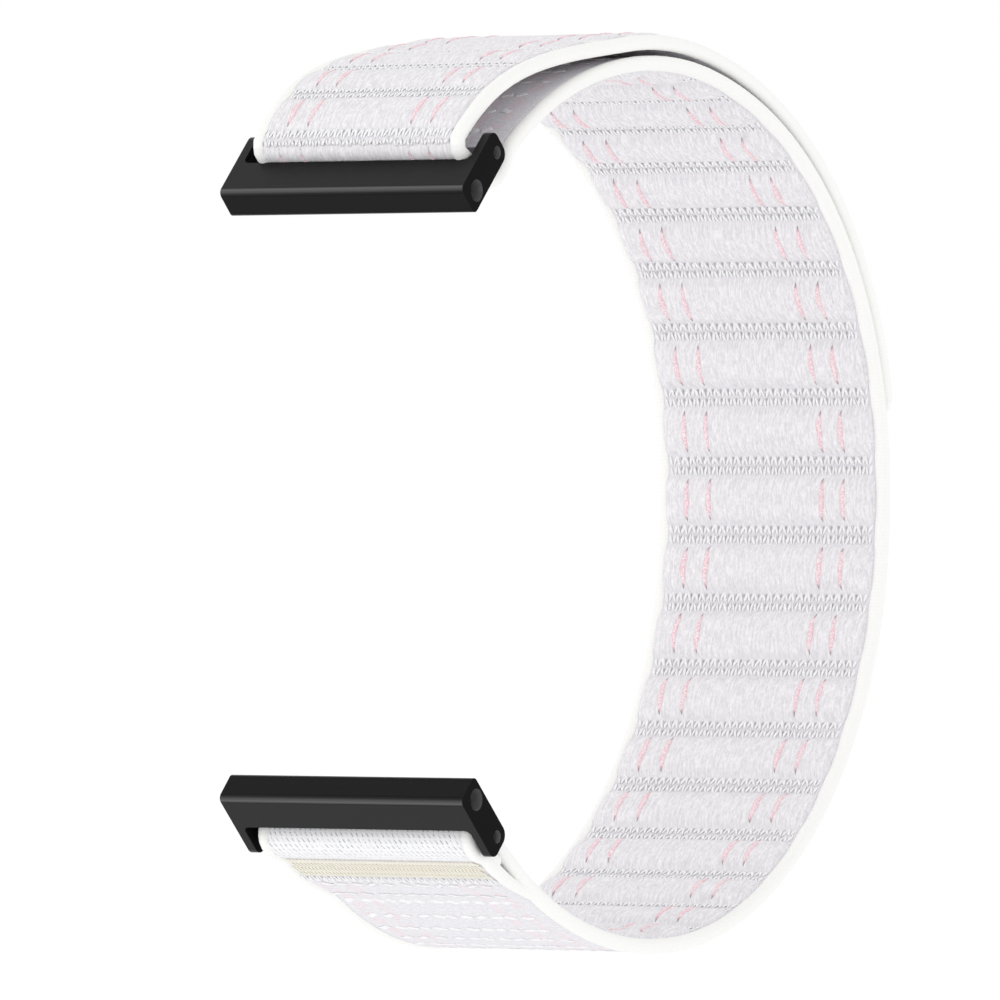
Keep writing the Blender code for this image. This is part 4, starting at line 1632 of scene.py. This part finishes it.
        def marks(column: int, share: float) -> tuple[float, float]:
            return column / sides * math.tau * radius * MILLIMETRES, share * length / self.path.sizes.rib_pitch

        mesh = swept(sides, self.hem_steps, place, marks)
        piece = linked(mesh, f"flap_hem_{side.name.lower()}_edge_tube", (self.finishes.edge,))
        handed(piece, motion, Slot.SELVEDGE)

    def _seam_base(
        self, motion: Motion, on_hem: Callable[[float, float, float], Vector], sign: int, full: float,
    ) -> None:
        """The cream ground of the seam."""
        half = full - 0.0003
        columns = self.hem_columns

        def place(column: int, share: float) -> Vector:
            turn = math.tau * column / (2 * columns)
            round_share = math.sin(turn)
            height = 0.00008 * (1 if round_share > 0 else -1) * min(1.0, abs(round_share) * 4)
            return on_hem(-half * math.cos(turn), self.seam_start + self.seam_length * (0.12 + 0.8 * share), sign * height)

        def marks(column: int, share: float) -> tuple[float, float]:
            return share, column / (2 * columns)

        mesh = swept(2 * columns, 16, place, marks)
        piece = linked(mesh, "flap_seam_base", (self.finishes.seam_base,))
        handed(piece, motion, Slot.SEAM, ("flap_seam",))

    def _seam_yarn(
        self, motion: Motion, on_hem: Callable[[float, float, float], Vector], sign: int, full: float,
        length: float,
    ) -> None:
        """The slanting stitches of the seam, and the knitted row and the dashes between it and the band."""
        half = full - 0.0002
        step = 2 * half / self.seam_stitches
        bed = YarnBed(sides=5, cuts=3)
        for row in range(self.seam_rows):

            def course(share: float, row: int = row) -> Vector:
                return Vector((
                    -half + step * (share * 1.2 - 0.1 + 0.5 * (row % 2)),
                    self.seam_start + self.seam_length * (row - 0.03 + 1.06 * share) / self.seam_rows,
                    0.00009 + 0.00004 * math.sin(math.pi * share),
                ))

            bed.lay(course, 0.0001, 0.00006, 0.6)
        bed.repeat(self.seam_stitches, Vector((step, 0, 0)))
        mesh = joined_beds([bed.done()])
        for vertex in mesh.verts:
            vertex.co = on_hem(vertex.co.x, vertex.co.y, sign * vertex.co.z)
        bmesh.ops.recalc_face_normals(mesh, faces=mesh.faces)
        handed(linked(mesh, "flap_seam_stitches", (self.finishes.seam_yarn,)), motion, Slot.SEAM)
        sizes = self.path.sizes
        narrower = full / (sizes.band_width / 2 - sizes.edge_diameter)
        base = sizes.web_thickness / 2
        first = self.seam_start + self.seam_length
        dashes = YarnBed(sides=5, cuts=4)
        draw = random.Random(5)
        middle = first + self.row_length * 1.5
        while middle < length - 0.0003:
            self.patterns.dash_row(dashes, draw, middle, base + 0.00002)
            middle += sizes.rib_pitch / self.patterns.dash_rows
        mesh = joined_beds([self.patterns.stitch_row(first, first + self.row_length, 1.0), dashes.done()])
        for vertex in mesh.verts:
            vertex.co = on_hem(vertex.co.x * narrower, vertex.co.y, sign * (vertex.co.z - base))
        bmesh.ops.recalc_face_normals(mesh, faces=mesh.faces)
        handed(linked(mesh, "flap_hem_stitches", (self.finishes.white_yarn,)), motion, Slot.WEBBING)

    def _stubs(self, motion: Motion) -> None:
        """Short pink floats between the upper bar and the tail's first valley."""
        path = self.path
        low, high = path.tail_hinge - 0.0040, self.tail_start - 0.0001
        bed = YarnBed(sides=6, cuts=8)
        for place in self.patterns.pink_places:
            bed.lay(
                lambda share, place=place: Vector((place * 0.92, low + (high - low) * share, 0.00001)),
                self.patterns.pink_half_width * 0.8, self.patterns.pink_half_height, 0.05,
            )
        mesh = joined_beds([bed.done()])
        for vertex in mesh.verts:
            height = vertex.co.z + path.sizes.web_thickness / 2
            vertex.co = path.placed(vertex.co.y, vertex.co.x, height)
        piece = linked(mesh, "upper_fold_pink_floats", (self.finishes.pink_yarn,))
        handed(piece, motion, Slot.WEBBING)


@dataclass
class TailFittings:
    """The hook patch under the tail's tip and the sealed end."""

    path: StrapPath
    finishes: Finishes
    margin: float = 0.0021
    patch_gap: float = 0.0001
    patch_base: float = 0.00018
    hook_height: float = 0.0002
    hook_step: float = 0.00062
    butt_gap: float = 0.00025
    seal_rounding: float = 0.88
    corner_radius: float = 0.0012

    def build(self, motion: Motion) -> None:
        """Build the patch with its hooks, and the sealed end."""
        self._patch(motion)
        self._seal(motion)

    def _patch(self, motion: Motion) -> None:
        """The hook patch."""
        path = self.path
        top = -path.sizes.web_thickness / 2 - self.patch_gap
        start, end = path.tip_hinge + self.margin, path.tail_end - self.butt_gap
        mesh = strip(
            path, start, end, lambda distance: path.half_width(distance) - self.margin,
            lambda distance: (top - self.patch_base, top + self.patch_gap * 0.9),
        )
        piece = linked(mesh, "hook_patch_tape", (self.finishes.hook_tape,))
        handed(piece, motion, Slot.HOOKS, ("hook_patch",))
        half = path.half_width(start) - self.margin - self.hook_step
        count = math.floor(2 * half / self.hook_step)
        bed = YarnBed(sides=4, cuts=4)
        base = top - self.patch_base

        def course(share: float) -> Vector:
            turn = math.pi * 1.15 * share
            return Vector((
                -half + 0.00012 * (1 - math.cos(turn)), 0.0,
                base + 0.00003 - self.hook_height * math.sin(min(turn, math.pi)),
            ))

        bed.lay(course, 0.00005, 0.00005, 0.7)
        bed.repeat(count, Vector((self.hook_step, 0, 0)))
        row = bed.done()
        rows = math.floor((end - start - self.hook_step) / self.hook_step)
        mesh = joined_beds([row] * rows)
        mesh.verts.ensure_lookup_table()
        for index, vertex in enumerate(mesh.verts):
            line = index // len(row.vertices)
            shift = self.hook_step / 2 if line % 2 else 0.0
            distance = start + self.hook_step * (line + 1) + vertex.co.y
            vertex.co = path.placed(distance, vertex.co.x + shift, vertex.co.z)
        piece = linked(mesh, "hook_patch_hooks", (self.finishes.hook_tape,))
        handed(piece, motion, Slot.HOOKS)

    def _seal(self, motion: Motion) -> None:
        """The sealed end, a rounded strip."""
        path = self.path
        half_thickness = path.sizes.web_thickness / 2
        start, end = path.tail_end, path.tail_end + path.sizes.seal_length

        def fullness(distance: float) -> float:
            beyond = (distance - start) / (end - start)
            return math.sqrt(max(0.0, 1 - self.seal_rounding * beyond * beyond))

        mesh = strip(
            path, start, end,
            lambda distance: path.half_width(distance) - 0.00005 - self.corner_radius * (1 - fullness(distance)),
            lambda distance: (-half_thickness * fullness(distance), half_thickness * fullness(distance)),
            step=0.00006,
        )
        piece = linked(mesh, "sealed_tail_end", (self.finishes.edge,))
        handed(piece, motion, Slot.SELVEDGE, ("tail_end_seal",))


@dataclass
class EndBar:
    """A black end bar: a rounded bar with a bore for the watch, and two ears that hold the strap's pin."""

    place: BarPlace
    finishes: Finishes
    length: float = 0.0220
    ear_thickness: float = 0.00075
    bore_diameter: float = 0.0017
    bore_to_pin: float = 0.00415
    bore_to_nose: float = 0.0015
    inner_depth: float = 0.00113
    outer_depth: float = 0.00163
    pin_to_slot_face: float = 0.00238
    pin_to_ear_tip: float = 0.00097
    nose_radius: float = 0.0005
    ear_tip_radius: float = 0.0008
    side_radius: float = 0.0005
    root_radius: float = 0.0005
    edge_softness: float = 0.00009
    pin_diameter: float = 0.0009
    pin_clearance: float = 0.00005
    pin_recess: float = 0.0004
    round_steps: int = 48
    # Share of the painted flank shade that the nose faces take.
    nose_shade_share: float = 0.55
    # Angles round the nose's rounding where the painted highlight peaks and where it fades out.
    ridge_highlight_peak: float = math.radians(24)
    ridge_highlight_end: float = math.radians(66)

    def build(self, name: str, motion: Motion) -> None:
        """Build the bar and its pin.

        Args:
            name: Which bar, upper or lower.
            motion: How both move.
        """
        body = self._rounded_block()
        for cutter in (self._slot_cutter(), self._drill(self.bore_to_pin, self.bore_diameter / 2),
                       self._drill(0.0, self.pin_diameter / 2 + self.pin_clearance)):
            boolean = body.modifiers.new(cutter.name, "BOOLEAN")
            boolean.operation = "DIFFERENCE"
            boolean.solver = "EXACT"
            boolean.object = cutter
        softened = body.modifiers.new("softened", "BEVEL")
        softened.width = self.edge_softness
        softened.segments = 3
        softened.limit_method = "ANGLE"
        softened.angle_limit = math.radians(50)
        softened.harden_normals = True
        bpy.context.view_layer.update()
        shaped = bpy.data.meshes.new_from_object(body.evaluated_get(bpy.context.evaluated_depsgraph_get()))
        for helper in [body] + [modifier.object for modifier in body.modifiers if modifier.type == "BOOLEAN"]:
            bpy.data.objects.remove(helper, do_unlink=True)
        mesh = bmesh.new()
        mesh.from_mesh(shaped)
        bmesh.ops.recalc_face_normals(mesh, faces=mesh.faces)
        self._finish_faces(mesh)
        bmesh.ops.transform(mesh, matrix=self.place.frame(), verts=mesh.verts)
        bmesh.ops.recalc_face_normals(mesh, faces=mesh.faces)
        piece = linked(mesh, f"{name}_bar_body", (self.finishes.bar, self.finishes.flank_painted_shade, self.finishes.bore))
        even = piece.modifiers.new("even_shading", "WEIGHTED_NORMAL")
        even.weight = 100
        handed(piece, motion, Slot.BAR, (f"{name}_end_bar",))
        self._pin(name, motion)

    def _finish_faces(self, mesh: bmesh.types.BMesh) -> None:
        """Give the bar's faces their finishes: satin face with a painted highlight on the nose's outer ridge, matt
        flanks and nose with painted shade, bare bores.
        """
        away = mesh.loops.layers.uv.new(WEAVE_MAP)
        for face in mesh.faces:
            normal = face.normal
            middle = face.calc_center_median()
            for back, radius in ((self.bore_to_pin, self.bore_diameter / 2), (0.0, self.pin_diameter / 2)):
                off_axis = math.hypot(middle.y + back, middle.z)
                if abs(normal.x) < 0.3 and off_axis < radius + 2 * self.edge_softness:
                    face.material_index = 2
            if face.material_index == 0 and (abs(normal.x) > 0.12 or normal.y < -0.97):
                face.material_index = 1
        # Painted shade for the flanks and nose goes in the map's first coordinate: how far a place lies from the
        # satin face, a fixed share on the nose.
        for face in mesh.faces:
            nose = face.normal.y < -0.97
            for loop in face.loops:
                sides = [abs(other.normal.x) for other in loop.vert.link_faces]
                reach = 0.0 if min(sides) < 0.05 else 1.0 if max(sides) > 0.98 else sum(sides) / len(sides)
                # Painted highlight on the nose's outer ridge, kept in the map's second coordinate.
                on_ridge = face.material_index == 0 and 0.05 < face.normal.z < 0.998 and face.normal.y < 0
                ridge_highlight = self._ridge_highlight_share(loop.vert.co) if on_ridge else 0.0
                loop[away].uv = (self.nose_shade_share if nose else reach, ridge_highlight)

    def _ridge_highlight_share(self, place: Vector) -> float:
        """How strong the painted highlight on the outer ridge of the nose is at a place on it, from 0 to 1."""
        ahead = self.nose_radius - self.bore_to_pin - self.bore_to_nose - place.y
        turn = math.atan2(ahead, place.z - self.outer_depth + self.nose_radius)
        if turn < self.ridge_highlight_peak:
            return max(0.0, turn / self.ridge_highlight_peak)
        return max(0.0, (self.ridge_highlight_end - turn) / (self.ridge_highlight_end - self.ridge_highlight_peak))

    def _block(self, name: str, low: Vector, high: Vector) -> tuple[bmesh.types.BMesh, str]:
        """A box between two corners, in across, along and outward."""
        mesh = bmesh.new()
        middle, size = (low + high) / 2, high - low
        bmesh.ops.create_cube(mesh, size=1, matrix=Matrix.Translation(middle) @ Matrix.Diagonal((*size, 1)))
        return mesh, name

    def _rounded(self, mesh: bmesh.types.BMesh, edges: list[bmesh.types.BMEdge], radius: float, steps: int) -> None:
        """Round some edges of a mesh."""
        bmesh.ops.bevel(
            mesh, geom=edges, offset=radius, offset_type="OFFSET", segments=steps, profile=0.5,
            affect="EDGES", material=-1, clamp_overlap=True,
        )

    def _helper(self, mesh: bmesh.types.BMesh, name: str) -> bpy.types.Object:
        """Link a helper object that is removed again."""
        bmesh.ops.recalc_face_normals(mesh, faces=mesh.faces)
        return linked(mesh, name, ())

    def _rounded_block(self) -> bpy.types.Object:
        """The bar before its slot is cut."""
        nose = -self.bore_to_pin - self.bore_to_nose
        mesh, name = self._block(
            "bar_block", Vector((-self.length / 2, nose, -self.inner_depth)),
            Vector((self.length / 2, self.pin_to_ear_tip, self.outer_depth)),
        )

        def across_edges(along: float) -> list[bmesh.types.BMEdge]:
            return [
                edge for edge in mesh.edges
                if all(abs(vertex.co.y - along) < MERGE_DISTANCE for vertex in edge.verts)
                and abs(edge.verts[0].co.x - edge.verts[1].co.x) > self.length / 2
            ]

        self._rounded(mesh, across_edges(nose), self.nose_radius, 10)
        self._rounded(mesh, across_edges(self.pin_to_ear_tip), self.ear_tip_radius, 10)
        ends = [
            edge for edge in mesh.edges
            if all(abs(abs(vertex.co.x) - self.length / 2) < MERGE_DISTANCE for vertex in edge.verts)
        ]
        self._rounded(mesh, ends, self.side_radius, 6)
        return self._helper(mesh, name)

    def _slot_cutter(self) -> bpy.types.Object:
        """What is cut away between the ears, round at their roots."""
        half = self.length / 2 - self.ear_thickness
        beyond = 0.002
        mesh, name = self._block(
            "slot_cutter", Vector((-half, -self.pin_to_slot_face, -self.inner_depth - beyond)),
            Vector((half, self.pin_to_ear_tip + beyond, self.outer_depth + beyond)),
        )
        roots = [
            edge for edge in mesh.edges
            if all(abs(vertex.co.y + self.pin_to_slot_face) < MERGE_DISTANCE for vertex in edge.verts)
            and abs(edge.verts[0].co.z - edge.verts[1].co.z) > self.outer_depth
        ]
        self._rounded(mesh, roots, self.root_radius, 6)
        return self._helper(mesh, name)

    def _drill(self, back: float, radius: float) -> bpy.types.Object:
        """A round hole right through the bar, at a distance from the pin."""
        mesh = bmesh.new()
        turn = Matrix.Translation((0, -back, 0)) @ Matrix.Rotation(math.pi / 2, 4, "Y")
        bmesh.ops.create_cone(
            mesh, cap_ends=True, segments=self.round_steps, radius1=radius, radius2=radius,
            depth=self.length * 1.2, matrix=turn,
        )
        return self._helper(mesh, "drill")

    def _pin(self, name: str, motion: Motion) -> None:
        """The strap's pin, with domed ends inside the ears."""
        mesh = bmesh.new()
        radius = self.pin_diameter / 2
        depth = self.length - 2 * self.pin_recess
        bmesh.ops.create_cone(
            mesh, cap_ends=True, segments=self.round_steps // 2, radius1=radius, radius2=radius, depth=depth,
            matrix=Matrix.Rotation(math.pi / 2, 4, "Y"),
        )
        rims = [
            edge for edge in mesh.edges
            if all(abs(abs(vertex.co.x) - depth / 2) < MERGE_DISTANCE for vertex in edge.verts)
        ]
        self._rounded(mesh, rims, radius * 0.35, 3)
        bmesh.ops.transform(mesh, matrix=self.place.frame(), verts=mesh.verts)
        bmesh.ops.recalc_face_normals(mesh, faces=mesh.faces)
        piece = linked(mesh, f"{name}_pin_rod", (self.finishes.pin,))
        handed(piece, motion, Slot.PIN, (f"{name}_strap_pin",))


@dataclass
class Studio:
    """Camera, lamps, world and floor."""

    camera_place: tuple[float, float, float] = (0.5029, -0.8122, 0.00038)
    target: tuple[float, float, float] = (-0.00053, -0.00653, 0.00038)
    lens: float = 439.0
    floor_half: float = 4.0
    room_below: float = 0.06
    floor_tint: Tint = Tint(149, 149, 150)
    floor_light: float = 0.72
    floor_glow: float = 0.04
    surround: float = 0.93

    def build(self) -> None:
        """Set up the studio."""
        scene = bpy.context.scene
        scene.view_settings.view_transform = "Standard"
        self._camera(scene)
        self._world(scene)
        self._lamp("key_lamp", (-0.45, -0.95, 0.9), 0.9, 0.6)
        self._lamp("side_lamp", (0.95, -0.5, 0.25), 0.8, 0.3)
        self._lamp("front_lamp", (-0.64, -1.02, 0.0), 0.3, 1.2)
        self._floor()

    def _camera(self, scene: bpy.types.Scene) -> None:
        """The camera at the photograph's angle."""
        data = bpy.data.cameras.new("photo_camera")
        data.lens = self.lens
        data.clip_start = 0.01
        data.clip_end = 50
        camera = bpy.data.objects.new("photo_camera", data)
        scene.collection.objects.link(camera)
        camera.location = self.camera_place
        sight = Vector(self.target) - Vector(self.camera_place)
        camera.rotation_euler = sight.to_track_quat("-Z", "Y").to_euler()
        scene.camera = camera

    def _backdrop_share(self, graph: Graph) -> Socket:
        """1 for rays that should see the plain white backdrop."""
        path = graph.node("ShaderNodeLightPath")
        seen = graph.math("MAXIMUM", path.outputs["Is Camera Ray"], path.outputs["Is Glossy Ray"])
        return graph.math("MAXIMUM", seen, path.outputs["Is Transmission Ray"])

    def _world(self, scene: bpy.types.Scene) -> None:
        """A white backdrop, and an even light a little softer than it."""
        world = bpy.data.worlds.new("studio_world")
        world.use_nodes = True
        scene.world = world
        graph = Graph(world.node_tree)
        light = world.node_tree.nodes["Background"]
        graph.feed(light.inputs["Color"], (1.0, 1.0, 1.0, 1.0))
        graph.feed(light.inputs["Strength"], self.surround)
        backdrop = graph.node("ShaderNodeBackground")
        graph.feed(backdrop.inputs["Color"], (1.0, 1.0, 1.0, 1.0))
        graph.feed(backdrop.inputs["Strength"], 1.0)
        mixed = graph.node("ShaderNodeMixShader")
        graph.feed(mixed.inputs[0], self._backdrop_share(graph))
        graph.feed(mixed.inputs[1], light.outputs[0])
        graph.feed(mixed.inputs[2], backdrop.outputs[0])
        graph.feed(world.node_tree.nodes["World Output"].inputs[0], mixed.outputs[0])

    def _lamp(self, name: str, place: tuple[float, float, float], size: float, power: float) -> None:
        """A large soft lamp aimed at the strap."""
        data = bpy.data.lights.new(name, "AREA")
        data.size = size
        data.energy = power
        lamp = bpy.data.objects.new(name, data)
        bpy.context.scene.collection.objects.link(lamp)
        lamp.location = place
        lamp.rotation_euler = (-Vector(place)).to_track_quat("-Z", "Y").to_euler()

    def _floor(self) -> None:
        """A pale floor that keeps the strap's shadow, low enough that the opened strap stays above it."""
        graph, shader = started("pale_floor")
        graph.feed(shader.inputs["Base Color"], self.floor_tint.linear())
        graph.feed(shader.inputs["Roughness"], 0.9)
        graph.feed(shader.inputs["Specular IOR Level"], 0.0)
        glow = graph.node("ShaderNodeEmission")
        graph.feed(glow.inputs["Color"], (1.0, 1.0, 1.0, 1.0))
        lift = graph.math("MULTIPLY_ADD", self._backdrop_share(graph), self.floor_glow, self.floor_light)
        graph.feed(glow.inputs["Strength"], lift)
        both = graph.node("ShaderNodeAddShader")
        graph.feed(both.inputs[0], shader.outputs[0])
        graph.feed(both.inputs[1], glow.outputs[0])
        output = graph.tree.nodes["Material Output"]
        graph.feed(output.inputs["Surface"], both.outputs[0])
        mesh = bmesh.new()
        low = CAD_BOX[0][2] - self.room_below
        bmesh.ops.create_grid(
            mesh, x_segments=2, y_segments=2, size=self.floor_half, matrix=Matrix.Translation((0, 0, low))
        )
        floor = linked(mesh, "studio_floor", (material_of(graph),))


def ribbed_stretches(path: StrapPath) -> list[Stretch]:
    """Split the ribbed band so that each piece crosses one joint at most.

    Args:
        path: The strap's path.

    Returns:
        The stretches from the lower bar to the tail's end.
    """
    sizes = path.sizes
    bend = 0.0026
    pitch = sizes.rib_pitch
    below = sizes.front_ribs + sizes.lower_ribs + sizes.back_ribs
    upper_pitch = (path.band_end - path.back_hinge) / sizes.upper_ribs
    main = [path.band_start + pitch * rib for rib in range(below + 1)]
    main += [path.back_hinge + upper_pitch * rib for rib in range(1, sizes.upper_ribs + 1)]
    tail_ribs = sizes.tail_base_ribs + sizes.tail_middle_ribs + sizes.tail_tip_ribs
    tail = [path.tail_hinge + pitch * rib for rib in range(tail_ribs + 1)]

    def over(first: str, second: str, hinge: float, before: float, after: float) -> Motion:
        """A motion from one body to the next, with the ends of a short stretch about a hinge."""
        start, end = path.centre(hinge + before), path.centre(hinge + after)
        return Motion(first, second, tuple(start), tuple(end))

    front_end = sizes.front_ribs + 1
    lower_end = front_end + sizes.lower_ribs
    back_end = lower_end + sizes.back_ribs
    base_end = sizes.tail_base_ribs - 1
    middle_end = base_end + sizes.tail_middle_ribs
    return [
        Stretch("front", "front_band", tuple(main[:front_end + 1]),
                over("lower_section", "front_section", path.front_hinge, bend, -bend), first_rib=0),
        Stretch("lower", "lower_band", tuple(main[front_end:lower_end + 1]),
                over("back_section", "lower_section", path.lower_hinge, bend, -bend), first_rib=front_end),
        Stretch("back", "back_band", tuple(main[lower_end:back_end + 1]),
                over("wrist_section", "back_section", path.back_hinge, bend, -bend), first_rib=lower_end),
        Stretch("upper", "upper_band", tuple(main[back_end:]), Motion("wrist_section"), first_rib=back_end),
        Stretch("tail_base", "tail_base", tuple(tail[:base_end + 1]),
                over("wrist_section", "tail_base_section", path.tail_hinge, -0.0015, bend),
                lead_in=LEAD_IN, first_rib=40),
        Stretch("tail_middle", "tail_middle", tuple(tail[base_end:middle_end + 1]),
                over("tail_base_section", "tail_middle_section", path.tail_middle_hinge, -bend, bend),
                first_rib=40 + base_end),
        Stretch("tail_tip", "tail_tip", tuple(tail[middle_end:]),
                over("tail_middle_section", "tail_tip_section", path.tip_hinge, -bend, bend),
                first_rib=40 + middle_end),
    ]


def main() -> None:
    """Build the strap's looks and the studio round the frame."""
    logging.basicConfig(level=logging.INFO, format="%(name)s %(message)s")
    path = StrapPath(StrapSizes())
    finishes = Finishes(path.sizes.rib_pitch)
    weave = Weave()
    patterns = YarnPatterns(path, weave)
    patterns.build()
    band = RibbedBand(path, finishes, patterns, weave)
    for stretch in ribbed_stretches(path):
        band.build(stretch)
    folds = Folds(path, finishes, patterns, weave, tail_start=path.tail_hinge - LEAD_IN)
    folds.build(Motion("front_section"), Motion("wrist_section"))
    TailFittings(path, finishes).build(Motion("tail_tip_section"))
    EndBar(path.upper_bar, finishes).build("upper", Motion("upper_bar"))
    EndBar(path.lower_bar, finishes).build("lower", Motion("lower_bar"))
    Studio().build()
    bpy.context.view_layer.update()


if __name__ == "__main__":
    main()
